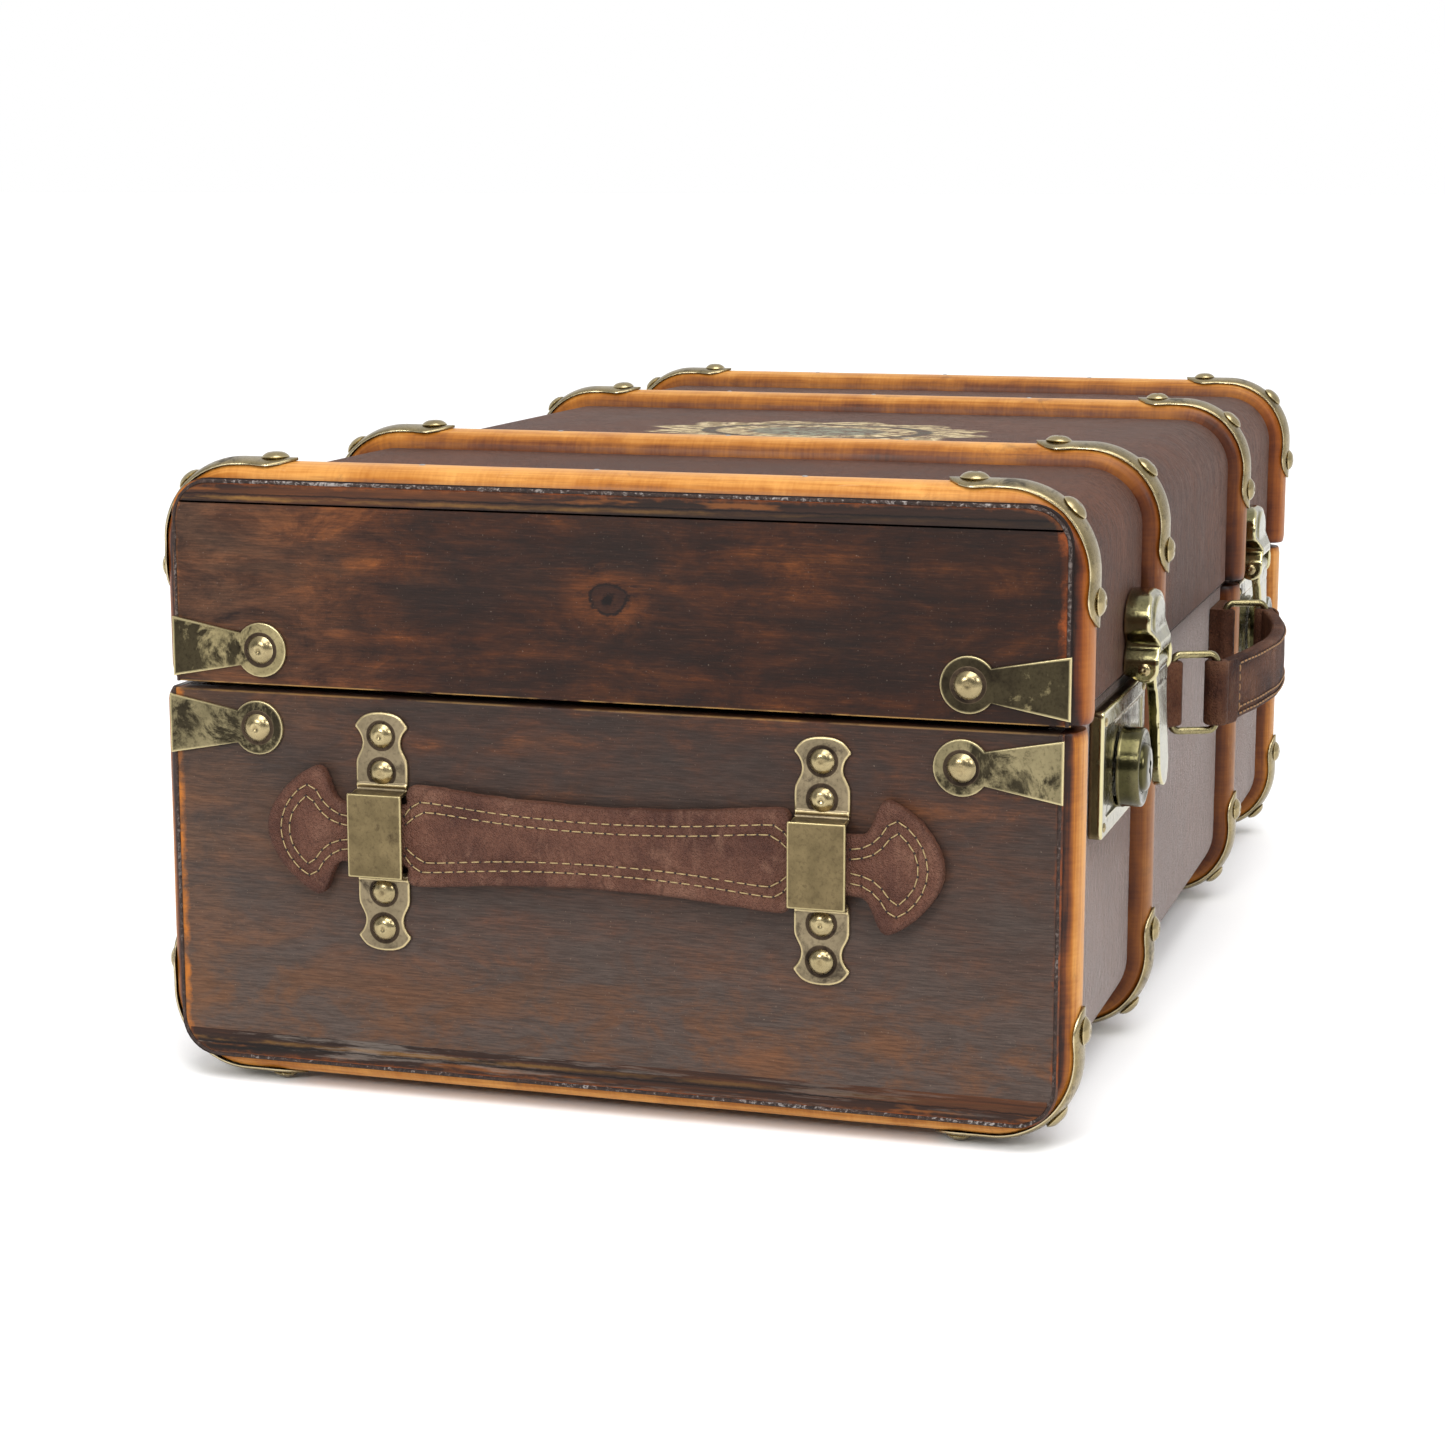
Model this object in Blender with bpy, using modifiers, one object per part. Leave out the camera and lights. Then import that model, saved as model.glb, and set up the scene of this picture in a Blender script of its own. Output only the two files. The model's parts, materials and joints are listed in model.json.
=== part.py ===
"""Small steamer trunk: a wooden case bound with bent slats, brass corner straps,
two sprung slide latches, a ring-hung front handle and a leather handle on each end.

Metres, +Z up, +X along the length, front (latches and handle) towards -Y.
The trunk stands on the rivet heads of its lower corner straps, at z = 0.
"""
from math import cos, pi, radians, sin, tan

import bmesh
import bpy
from mathutils import Matrix, Vector

# ---- driving dimensions ----
LENGTH = 0.5110            # over the two end panels
WIDTH = 0.3110             # over the slats, front to back
HEIGHT = 0.2068            # over the slats, bottom to top
SEAM = 0.1325              # height of the lid's seam above the slats' underside
SEAM_GAP = 0.0024
LID_SHIFT = 0.0018           # the old lid sits this far forward of the base

GAP = 0.0003               # kept between pieces that touch
WALL = 0.0050
PANEL = 0.0080
FACING = 0.0018             # outer skin of an end panel, laid over the edge of the wrap
FACING_LAP = 0.0017
FACING_CORNER = 0.0130
CORNER = 0.0200            # outer corner radius of the case
ARC_STEPS = 6              # facets in a quarter turn of the case
WELD = 1e-5                # merge distance of welded curve caps

SLAT_WIDTH = 0.0180
SLAT_HEIGHT = 0.0070
SLAT_X = (-0.2444, -0.1080, 0.1080, 0.2444)

STRAP = 0.0009             # brass strap thickness
STRAP_TOP_ARM = 0.0463     # from the case side to the tip of the upper or lower arm
STRAP_SIDE_ARM = 0.0437
STRAP_ARCH = 0.0007        # how far the strap's edges droop over the round slat
RIVET_INSET = 0.0080       # rivet centre to the strap's tip
RIVET_RADIUS = 0.0047
RIVET_HEIGHT = 0.0023
RIVET_CROWN = 0.0016       # radius of the worn flat on a rivet's crown
RIVET_ROOT = 0.0007        # how deep a rivet sinks into its strap

CLIP_Y = 0.1187
CLIP_RISE = 0.0130         # clip centre to the seam
CLIP_LENGTH = 0.0318       # rivet centre to the flared end
CLIP_DISC = 0.0090

HANDLE_LENGTH = 0.2290
HANDLE_DROP = 0.0455       # centre of the end handle below the seam
HANDLE_THICK = 0.0046
HANDLE_PLAY = 0.0020       # free room of the leather under its loops
LOOP_Y = 0.0745
LOOP_LENGTH = 0.0800
LOOP_BRIDGE = 0.0130       # half the raised part of a loop
LOOP_PLATE = 0.0012

LATCH_X = 0.1374
LATCH_WIDTH = 0.0330
LATCH_RISE = 0.0290        # top of the latch casting above the seam
HASP_WIDTH = 0.0246
HASP_LENGTH = 0.0422
HASP_THICK = 0.0042
HASP_TILT = radians(3)
HASP_BARREL = 0.0039
PIN_OUT = 0.0077           # hasp pin in front of the case
PIN_RISE = 0.0034          # hasp pin above the seam
PLATE_WIDTH = 0.0820
PLATE_HEIGHT = 0.0423
PLATE_OUT = 0.0050
PLATE_X = 0.1625
PLATE_DROP = 0.0240        # centre of the lock plate below the seam
BUTTON_X = 0.1663
BUTTON_DROP = 0.0272
BUTTON_RADIUS = 0.0133
BUTTON_OUT = 0.0075
PLUG_RADIUS = 0.0082
PLUG_OUT = 0.0018
STEM = 0.0080
BUTTON_TRAVEL = 0.0050

RING_X = 0.0700
RING_OUT = 0.0065          # ring's inner bar in front of the case
RING_REACH = 0.0165
RING_HALF = 0.0140
RING_WIRE = 0.0014
RING_CORNER = 0.0025
RING_DROP = 0.0182         # centre of the rings below the seam
RING_LEAN = radians(25)    # both rings lean towards +X at rest
GRIP_TALL = 0.0235
GRIP_THICK = 0.0050
GRIP_BOW = 0.0120
GRIP_EYE = 0.0046
EYE_HOLE = 0.0018
TAB_LENGTH = 0.0262
TAB_TALL = 0.0235
TAB_THICK = 0.0034
TAB_EYE = 0.0037

HINGE_LENGTH = 0.1600
HINGE_LEAF = 0.0016
HINGE_TALL = 0.0200
HINGE_KNUCKLE = 0.0030
HINGE_BORE = 0.0018
HINGE_WIRE = 0.0014
HINGE_PARTS = 5
NOTCH_ANGLE = radians(52)  # half of the notch that lets the slats fold past each other

# ---- places worked out from them ----
SLAT_FOOT = GAP + STRAP + RIVET_HEIGHT
SEAM_Z = SLAT_FOOT + SEAM
CASE_BOTTOM = SLAT_FOOT + SLAT_HEIGHT
CASE_TOP = SLAT_FOOT + HEIGHT - SLAT_HEIGHT
CASE_HALF = WIDTH / 2 - SLAT_HEIGHT
SLAT_CORNER = CORNER + SLAT_HEIGHT
HINGE_Y = CASE_HALF + GAP + HINGE_KNUCKLE
FRONT_REACH = CASE_HALF + RING_OUT + RING_REACH * cos(RING_LEAN) + GRIP_BOW + GRIP_THICK / 2
BACK_REACH = WIDTH / 2 + GAP + STRAP + RIVET_HEIGHT
CASE_Y = (FRONT_REACH - BACK_REACH) / 2    # puts the middle of the outline over the origin

BRASS = ("antique_brass", (0.23, 0.19, 0.09), 0.38, 1.0)
LATCH_BRASS = ("latch_brass", (0.27, 0.24, 0.10), 0.25, 1.0)
PANEL_WOOD = ("panel_wood", (0.055, 0.020, 0.011), 0.35, 0.0)
SLAT_WOOD = ("slat_wood", (0.48, 0.18, 0.045), 0.4, 0.0)
COVER = ("cover_leatherette", (0.085, 0.050, 0.042), 0.5, 0.0)
HANDLE_LEATHER = ("handle_leather", (0.16, 0.055, 0.037), 0.55, 0.0)
GRIP_LEATHER = ("grip_leather", (0.09, 0.035, 0.022), 0.5, 0.0)

# local axes of a flat outline, turned so that it faces along a world axis
ALONG_X = Matrix(((0, 0, 1, 0), (1, 0, 0, 0), (0, 1, 0, 0), (0, 0, 0, 1)))
ALONG_Y = Matrix(((1, 0, 0, 0), (0, 0, -1, 0), (0, 1, 0, 0), (0, 0, 0, 1)))
ALONG_Z = Matrix.Identity(4)
ROD_X = Matrix.Rotation(pi / 2, 4, "Y")
FACE_FRONT = Matrix.Rotation(pi / 2, 4, "X")


# ---- scene and materials ----
def clear_scene():
    for obj in list(bpy.data.objects):
        bpy.data.objects.remove(obj, do_unlink=True)


def collection(name):
    group = bpy.data.collections.new(name)
    bpy.context.scene.collection.children.link(group)
    return group


def material(spec):
    name, colour, roughness, metallic = spec
    found = bpy.data.materials.get(name)
    if found:
        return found
    made = bpy.data.materials.new(name)
    made.use_nodes = True
    shader = made.node_tree.nodes["Principled BSDF"]
    shader.inputs["Base Color"].default_value = (*colour, 1)
    shader.inputs["Roughness"].default_value = roughness
    shader.inputs["Metallic"].default_value = metallic
    return made


def put(name, data, spec, parent, location=(0, 0, 0), turn=None):
    """Add a finished piece to the trunk, placed in case coordinates."""
    obj = bpy.data.objects.new(name, data)
    TRUNK.objects.link(obj)
    obj.location = location
    if turn:
        obj.rotation_euler = turn
    obj.parent = parent
    obj.matrix_parent_inverse = Matrix.Translation(-Vector(parent["place"]))
    if not data.materials:
        data.materials.append(material(spec))
    return obj


def axis_empty(name, place, parent=None):
    """An empty on a joint's axis, or at the middle of the case."""
    empty = bpy.data.objects.new(name, None)
    TRUNK.objects.link(empty)
    empty["place"] = place
    empty.location = place
    if parent:
        empty.parent = parent
        empty.matrix_parent_inverse = Matrix.Translation(-Vector(parent["place"]))
    return empty


# ---- modelling tools ----
def scratch(data, location=(0, 0, 0)):
    obj = bpy.data.objects.new("cutter", data)
    CUTTERS.objects.link(obj)
    obj.location = location
    obj.hide_render = True
    obj.display_type = "WIRE"
    return obj


def baked(obj):
    """The object's evaluated mesh with its caps welded; the object is removed."""
    depsgraph = bpy.context.evaluated_depsgraph_get()
    mesh = bpy.data.meshes.new_from_object(obj.evaluated_get(depsgraph))
    mesh.transform(Matrix.Translation(obj.location))
    bm = bmesh.new()
    bm.from_mesh(mesh)
    bmesh.ops.remove_doubles(bm, verts=bm.verts, dist=WELD)
    bmesh.ops.recalc_face_normals(bm, faces=bm.faces)
    bm.to_mesh(mesh)
    bm.free()
    bpy.data.objects.remove(obj, do_unlink=True)
    return mesh


def smoothed(mesh, angle=35):
    mesh.shade_smooth()
    mesh.set_sharp_from_angle(angle=radians(angle))
    return mesh


def outline_mesh(outlines, thickness, facing, middle=0.0):
    """A flat outline, with any holes, thickened about `middle` on its facing axis."""
    curve = bpy.data.curves.new("outline", "CURVE")
    curve.dimensions = "2D"
    curve.fill_mode = "BOTH"
    curve.extrude = thickness / 2
    for points in outlines:
        add_spline(curve, points, True)
    mesh = baked(scratch(curve))
    mesh.transform(facing @ Matrix.Translation((0, 0, middle)))
    return mesh


def add_spline(curve, points, cyclic):
    spline = curve.splines.new("POLY")
    spline.points.add(len(points) - 1)
    for knot, point in zip(spline.points, points):
        knot.co = (point[0], point[1], 0, 1)
    spline.use_cyclic_u = cyclic
    return spline


def box_mesh(size, middle):
    bm = bmesh.new()
    bmesh.ops.create_cube(bm, size=1)
    bmesh.ops.scale(bm, vec=size, verts=bm.verts)
    bmesh.ops.translate(bm, vec=middle, verts=bm.verts)
    mesh = bpy.data.meshes.new("box")
    bm.to_mesh(mesh)
    bm.free()
    return mesh


def rod_mesh(radius, length, facing, middle=(0, 0, 0), sides=12):
    bm = bmesh.new()
    bmesh.ops.create_cone(bm, cap_ends=True, segments=sides, radius1=radius, radius2=radius,
                          depth=length, matrix=facing)
    bmesh.ops.translate(bm, vec=middle, verts=bm.verts)
    mesh = bpy.data.meshes.new("rod")
    bm.to_mesh(mesh)
    bm.free()
    return mesh


def turned_mesh(profile, steps):
    """A solid of revolution about Z; the profile runs from the top of the axis to its foot."""
    mesh = bpy.data.meshes.new("profile")
    edges = [(i, i + 1) for i in range(len(profile) - 1)]
    mesh.from_pydata([(radius, 0, height) for radius, height in profile], edges, [])
    obj = scratch(mesh)
    screw = obj.modifiers.new("turn", "SCREW")
    screw.steps = screw.render_steps = steps
    screw.use_merge_vertices = True
    screw.merge_threshold = WELD
    return baked(obj)


def joined(mesh, steps):
    """Run Boolean steps, (operation, mesh) each, and return the baked result."""
    obj = scratch(mesh)
    others = []
    for operation, other in steps:
        cutter = scratch(other)
        others.append(cutter)
        boolean = obj.modifiers.new(operation.lower(), "BOOLEAN")
        boolean.operation = operation
        boolean.solver = "EXACT"
        boolean.object = cutter
    mesh = baked(obj)
    for cutter in others:
        bpy.data.objects.remove(cutter, do_unlink=True)
    return mesh


def moved(mesh, matrix):
    copy = mesh.copy()
    copy.transform(matrix)
    return copy


def bent_strip(stations, across, half_width, place, thickness):
    """A plate pressed to shape: a grid laid along `stations`, then thickened outwards."""
    rows = len(stations) - 1
    bm = bmesh.new()
    bmesh.ops.create_grid(bm, x_segments=rows, y_segments=across, size=0.5)
    for vert in bm.verts:
        station = stations[round((vert.co.x + 0.5) * rows)]
        side = vert.co.y * 2
        vert.co = place(station, side * half_width(station), side)
    mesh = bpy.data.meshes.new("strip")
    bm.to_mesh(mesh)
    bm.free()
    obj = scratch(mesh)
    shell = obj.modifiers.new("plate", "SOLIDIFY")
    shell.thickness = thickness
    shell.offset = 1
    shell.use_even_offset = True
    return baked(obj)


def along(table, where):
    """Straight interpolation in a short table of (place, value) pairs."""
    for (low, first), (high, second) in zip(table, table[1:]):
        if where <= high:
            return first + (second - first) * (where - low) / (high - low)
    return table[-1][1]


def arc(centre, radius, start, stop, steps):
    """Points on an arc, angles in degrees."""
    turn = (stop - start) / steps
    return [(centre[0] + radius * cos(radians(start + turn * i)),
             centre[1] + radius * sin(radians(start + turn * i))) for i in range(steps + 1)]


def rivet_mesh():
    profile = [(0, RIVET_HEIGHT), (RIVET_CROWN, RIVET_HEIGHT),
               (0.72 * RIVET_RADIUS, 0.55 * RIVET_HEIGHT), (RIVET_RADIUS, 0.1 * RIVET_HEIGHT),
               (RIVET_RADIUS, -RIVET_ROOT), (0, -RIVET_ROOT)]
    return turned_mesh(profile, 8)


# ---- the case ----
def u_path(side, offset, rim, corner=CORNER):
    """The case's section as an open U in (y, z): side -1 is the base, +1 the lid."""
    half = CASE_HALF + offset
    radius = corner + offset
    flat = CASE_TOP + offset if side > 0 else CASE_BOTTOM - offset
    centre = flat - side * radius
    first = arc((-half + radius, centre), radius, 180, 180 - side * 90, ARC_STEPS)
    last = arc((half - radius, centre), radius, side * 90, 0, ARC_STEPS)
    return [(-half, rim), *first, *last, (half, rim)]


def case_wrap(name, side, rim, parent):
    """The thin covered board that wraps front, back and the flat side."""
    path = u_path(side, 0, rim)
    rows = len(path) - 1
    half = LENGTH / 2 - PANEL - GAP
    bm = bmesh.new()
    bmesh.ops.create_grid(bm, x_segments=rows, y_segments=1, size=0.5)
    for vert in bm.verts:
        y, z = path[round((vert.co.x + 0.5) * rows)]
        vert.co = (vert.co.y * 2 * half, y, z)
    mesh = bpy.data.meshes.new(name)
    bm.to_mesh(mesh)
    bm.free()
    obj = put(name, smoothed(mesh), COVER, parent)
    wall = obj.modifiers.new("wall", "SOLIDIFY")
    wall.thickness = WALL
    wall.offset = side
    wall.use_even_offset = True


def case_end(name, side, rim, direction, parent):
    """An end panel: a board of the case's section under a wider facing."""
    middle = direction * (LENGTH - PANEL) / 2
    board = outline_mesh([u_path(side, 0, rim)], PANEL, ALONG_X, middle)
    middle = direction * (LENGTH - FACING) / 2
    skin = u_path(side, FACING_LAP, rim, FACING_CORNER - FACING_LAP)
    facing = outline_mesh([skin], FACING, ALONG_X, middle)
    put(name, joined(board, [("UNION", facing)]), PANEL_WOOD, parent)


def slat_profile():
    """A flat-backed half round with a narrow flat along its crest."""
    facets = 7
    half = SLAT_WIDTH / 2
    tall = (SLAT_HEIGHT - GAP) / sin(pi * 3 / facets)
    return [(tall * sin(pi * i / facets), half * cos(pi * i / facets)) for i in range(facets + 1)]


def hoop_mesh(side, rim):
    """One half of a bent slat, mitred at the back so that it folds past its partner."""
    section = bpy.data.curves.new("section", "CURVE")
    section.dimensions = "2D"
    section.fill_mode = "NONE"
    add_spline(section, slat_profile(), True)
    guide = scratch(section)
    curve = bpy.data.curves.new("hoop", "CURVE")
    curve.dimensions = "2D"
    curve.fill_mode = "NONE"
    curve.bevel_mode = "OBJECT"
    curve.bevel_object = guide
    curve.use_fill_caps = True
    path = u_path(side, GAP, rim)
    add_spline(curve, path[::-1] if side > 0 else path, False)
    mesh = baked(scratch(curve))
    mesh.transform(ALONG_X)
    bpy.data.objects.remove(guide, do_unlink=True)
    return smoothed(joined(mesh, [("DIFFERENCE", notch_mesh())]))


def notch_mesh():
    reach = 0.006
    start = 0.0004
    rise = (reach + start) * tan(NOTCH_ANGLE)
    wedge = [(HINGE_Y - start, SEAM_Z), (HINGE_Y + reach, SEAM_Z - rise),
             (HINGE_Y + reach, SEAM_Z + rise)]
    return outline_mesh([wedge], 2 * SLAT_WIDTH, ALONG_X)


def strap_mesh():
    """A corner strap with three rivets, about the centre of a front upper corner."""
    radius = SLAT_CORNER + GAP
    top = STRAP_TOP_ARM - SLAT_CORNER
    side = STRAP_SIDE_ARM - SLAT_CORNER
    bend = radius * pi / 2
    total = top + bend + side
    widths = [(0, 0.0008), (0.0015, 0.0026), (0.0045, 0.0062), (0.0085, 0.0076), (0.0130, 0.0064),
              (0.0185, 0.0074), (total / 2, 0.0068)]
    facets = ARC_STEPS
    stations = [0, 0.0015, 0.0045, 0.0085, 0.0130]
    stations += [top + bend * i / facets for i in range(facets + 1)]
    stations += [total - s for s in (0.0130, 0.0085, 0.0045, 0.0015, 0)]

    def half_width(s):
        return along(widths, min(s, total - s))

    def place(s, across, edge):
        droop = STRAP_ARCH * edge * edge * half_width(s) / 0.0076
        reach = radius - droop
        if s < top:
            return (across, top - s, reach)
        if s > top + bend:
            return (across, -reach, -(s - top - bend))
        turn = pi / 2 + (s - top) / radius
        return (across, reach * cos(turn), reach * sin(turn))

    plate = bent_strip(stations, 2, half_width, place, STRAP)
    rivet = rivet_mesh()
    surface = radius + STRAP
    spots = [(0, (top - RIVET_INSET, surface)), (90, (-surface, -side + RIVET_INSET)),
             (45, (-surface * cos(pi / 4), surface * sin(pi / 4)))]
    steps = []
    for angle, (y, z) in spots:
        turn = Matrix.Translation((0, y, z)) @ Matrix.Rotation(radians(angle), 4, "X")
        steps.append(("UNION", moved(rivet, turn)))
    return joined(plate, steps)


def add_hoops_and_straps(base, lid):
    base_hoop = hoop_mesh(-1, SEAM_Z - SEAM_GAP / 2)
    lid_hoop = hoop_mesh(1, SEAM_Z + SEAM_GAP / 2)
    strap = strap_mesh()
    y = WIDTH / 2 - SLAT_CORNER
    low = SLAT_FOOT + SLAT_CORNER
    high = SLAT_FOOT + HEIGHT - SLAT_CORNER
    for number, x in enumerate(SLAT_X, 1):
        put(f"base_hoop_{number}", base_hoop, SLAT_WOOD, base, (x, 0, 0))
        put(f"lid_hoop_{number}", lid_hoop, SLAT_WOOD, lid, (x, 0, 0))
        put(f"strap_{number}_lid_front", strap, BRASS, lid, (x, -y, high))
        put(f"strap_{number}_lid_back", strap, BRASS, lid, (x, y, high), (0, 0, pi))
        put(f"strap_{number}_base_front", strap, BRASS, base, (x, -y, low), (0, pi, 0))
        put(f"strap_{number}_base_back", strap, BRASS, base, (x, y, low), (pi, 0, 0))


# ---- end panel fittings ----
def clip_mesh():
    """A keyhole-shaped clip; its flared end points along +X of the outline."""
    neck = 0.0052
    flare = 0.0100
    start = 360 - 36
    disc = arc((0, 0), CLIP_DISC, 36, start, 10)
    outline = [(CLIP_LENGTH, flare), (0.0085, neck), *disc, (0.0085, -neck), (CLIP_LENGTH, -flare)]
    plate = outline_mesh([outline], STRAP, ALONG_Z, STRAP / 2)
    rivet = moved(rivet_mesh(), Matrix.Translation((0, 0, STRAP)))
    return joined(plate, [("UNION", rivet)])


def loop_mesh():
    """A handle loop: two riveted feet and a raised bridge, along Y, raised in +Z."""
    half = LOOP_LENGTH / 2
    raised = GAP + HANDLE_THICK + HANDLE_PLAY
    widths = [(0, 0.0042), (0.0022, 0.0080), (0.0050, 0.0090), (0.0080, 0.0084), (0.0110, 0.0067),
              (0.0145, 0.0074), (0.0160, 0.0092), (half, 0.0093)]
    ramp = half - LOOP_BRIDGE
    stations = [0, 0.0022, 0.0050, 0.0080, 0.0110, 0.0145, 0.0160, ramp - 0.0010, ramp + 0.0010]
    stations += [LOOP_LENGTH - s for s in reversed(stations)]

    def half_width(s):
        return along(widths, min(s, LOOP_LENGTH - s))

    def place(s, across, _edge):
        inside = min(s, LOOP_LENGTH - s) > ramp
        return (across, half - s, raised if inside else 0)

    plate = bent_strip(stations, 1, half_width, place, LOOP_PLATE)
    rivet = moved(rivet_mesh(), Matrix.Diagonal((0.9, 0.9, 1, 1)))
    spots = [sign * (half - inset) for sign in (-1, 1) for inset in (0.0078, 0.0200)]
    rivets = [moved(rivet, Matrix.Translation((0, y, LOOP_PLATE))) for y in spots]
    return joined(plate, [("UNION", mesh) for mesh in rivets])


def handle_outline():
    """The end handle's leather: a waisted grip, two necks and two half-moon heads."""
    tip = HANDLE_LENGTH / 2
    quarter = [(0, 0.0135), (0.0350, 0.0145), (0.0600, 0.0168), (0.0635, 0.0170), (0.0648, 0.0103),
               (0.0890, 0.0103), (0.0925, 0.0120), (0.0945, 0.0205), (0.0970, 0.0215),
               (0.1030, 0.0180), (0.1090, 0.0120), (0.1130, 0.0060), (tip, 0)]
    left = [(-y, z) for y, z in reversed(quarter[1:])]
    top = left + quarter
    return top + [(y, -z) for y, z in reversed(top[1:-1])]


def add_end_fittings(direction, base, lid):
    """Clips, loops and handle on one end; direction -1 is the left end."""
    end = "left" if direction < 0 else "right"
    face = direction * (LENGTH / 2 + GAP)
    outward = Matrix.Rotation(direction * pi / 2, 4, "Y")
    clip = clip_mesh()
    for where, level, parent in (("lid", SEAM_Z + CLIP_RISE, lid), ("base", SEAM_Z - CLIP_RISE, base)):
        for row, y in (("front", -CLIP_Y), ("back", CLIP_Y)):
            flared = Matrix.Rotation(pi / 2 if y > 0 else -pi / 2, 4, "Z")
            mesh = moved(clip, outward @ flared)
            put(f"clip_{where}_{end}_{row}", mesh, BRASS, parent, (face, y, level))
    centre = SEAM_Z - HANDLE_DROP
    loop = moved(loop_mesh(), outward @ Matrix.Rotation(pi / 2, 4, "Z"))
    for row, y in (("front", -LOOP_Y), ("back", LOOP_Y)):
        put(f"loop_{end}_{row}", loop, BRASS, base, (face, y, centre))
    leather = outline_mesh([handle_outline()], HANDLE_THICK, ALONG_X)
    slide = axis_empty(f"end_handle_{end}_slide", (face + direction * (GAP + HANDLE_THICK / 2), 0, centre),
                       base)
    put(f"end_handle_{end}", leather, HANDLE_LEATHER, slide, slide["place"])


# ---- latches ----
def latch_mesh():
    """The lid casting: a side profile cut to an arched front, slotted for the hasp."""
    back = -CASE_HALF - GAP
    pin = (-CASE_HALF - PIN_OUT, SEAM_Z + PIN_RISE)
    lobe = 0.0044
    top = SEAM_Z + LATCH_RISE
    side = [(back, SEAM_Z + SEAM_GAP / 2), (back, top), (back - 0.0068, top),
            (back - 0.0086, top - 0.0020), (back - 0.0090, top - 0.0130),
            (back - 0.0122, top - 0.0175), (pin[0] - lobe, pin[1] + 0.0040)]
    side += arc(pin, lobe, 180, 270, 4)
    body = outline_mesh([side], LATCH_WIDTH, ALONG_X)
    half = LATCH_WIDTH / 2
    spring = top - 0.0150
    arch = [(half * cos(pi * i / 10), spring + 0.0150 * sin(pi * i / 10)) for i in range(11)]
    front = [*arch, (-half, SEAM_Z - 0.005), (half, SEAM_Z - 0.005)]
    front_mesh = outline_mesh([front], 0.04, ALONG_Y, CASE_HALF)
    slot_top = pin[1] + 0.0052
    slot = box_mesh((HASP_WIDTH + 2 * GAP, 0.02, 0.02), (0, back - 0.0027 - 0.01, slot_top - 0.01))
    pin_rod = rod_mesh(0.0015, LATCH_WIDTH + 0.0010, ROD_X, (0, *pin))
    return joined(body, [("INTERSECT", front_mesh), ("DIFFERENCE", slot), ("UNION", pin_rod)])


def hasp_mesh():
    """The hinged hasp about its pin: a barrel and a round-ended arm that hangs from it."""
    half = HASP_WIDTH / 2
    round_end = half * 0.8
    arm = [(-half, 0), (half, 0)]
    arm += [(half * cos(radians(a)), -HASP_LENGTH + round_end - round_end * sin(radians(a)))
            for a in range(0, 181, 18)]
    plate = outline_mesh([arm], HASP_THICK, ALONG_Y, HASP_BARREL - HASP_THICK / 2)
    plate.transform(Matrix.Rotation(-HASP_TILT, 4, "X"))
    barrel = rod_mesh(HASP_BARREL, HASP_WIDTH, ROD_X, sides=16)
    bore = rod_mesh(EYE_HOLE, HASP_WIDTH * 2, ROD_X)
    return joined(plate, [("UNION", barrel), ("DIFFERENCE", bore)])


def lock_plate_mesh(slot_shift):
    """The lock plate with its chamfered rim and the slot of the sliding button."""
    plate = scratch(box_mesh((PLATE_WIDTH, PLATE_OUT - GAP, PLATE_HEIGHT), (0, 0, 0)))
    rim = plate.modifiers.new("rim", "BEVEL")
    rim.width = 0.0010
    rim.segments = 1
    slot_size = (STEM + BUTTON_TRAVEL + 2 * GAP, 0.02, STEM + 2 * GAP)
    slot = box_mesh(slot_size, slot_shift)
    return joined(baked(plate), [("DIFFERENCE", slot)])


def button_mesh():
    """The round slide button, its lock plug and the stem behind it."""
    rim = BUTTON_OUT
    plug = BUTTON_OUT + PLUG_OUT
    edge = 0.0009
    profile = [(0, plug), (PLUG_RADIUS - edge, plug), (PLUG_RADIUS, plug - edge), (PLUG_RADIUS, rim),
               (BUTTON_RADIUS - edge, rim), (BUTTON_RADIUS, rim - edge), (BUTTON_RADIUS, GAP), (0, GAP)]
    disc = moved(turned_mesh(profile, 16), FACE_FRONT)
    stem = box_mesh((STEM, PLATE_OUT, STEM), (0, PLATE_OUT / 2 - 2 * GAP, 0))
    return joined(disc, [("UNION", stem)])


def add_latch(direction, base, lid):
    """One slide latch; direction -1 is the left one, with its button towards the left end."""
    end = "left" if direction < 0 else "right"
    x = direction * LATCH_X
    put(f"latch_{end}", latch_mesh(), LATCH_BRASS, lid, (x, 0, 0))
    pin = (x, -CASE_HALF - PIN_OUT, SEAM_Z + PIN_RISE)
    hasp_axis = axis_empty(f"hasp_{end}_axis", pin, lid)
    put(f"hasp_{end}", hasp_mesh(), LATCH_BRASS, hasp_axis, pin)
    plate_at = (direction * PLATE_X, -CASE_HALF - (PLATE_OUT + GAP) / 2, SEAM_Z - PLATE_DROP)
    shift = (direction * (BUTTON_X + BUTTON_TRAVEL / 2 - PLATE_X), 0, PLATE_DROP - BUTTON_DROP)
    put(f"lock_plate_{end}", lock_plate_mesh(shift), LATCH_BRASS, base, plate_at)
    button = (direction * BUTTON_X, -CASE_HALF - PLATE_OUT, SEAM_Z - BUTTON_DROP)
    slide = axis_empty(f"lock_button_{end}_slide", button, base)
    put(f"lock_button_{end}", smoothed(button_mesh()), LATCH_BRASS, slide, button)


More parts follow.
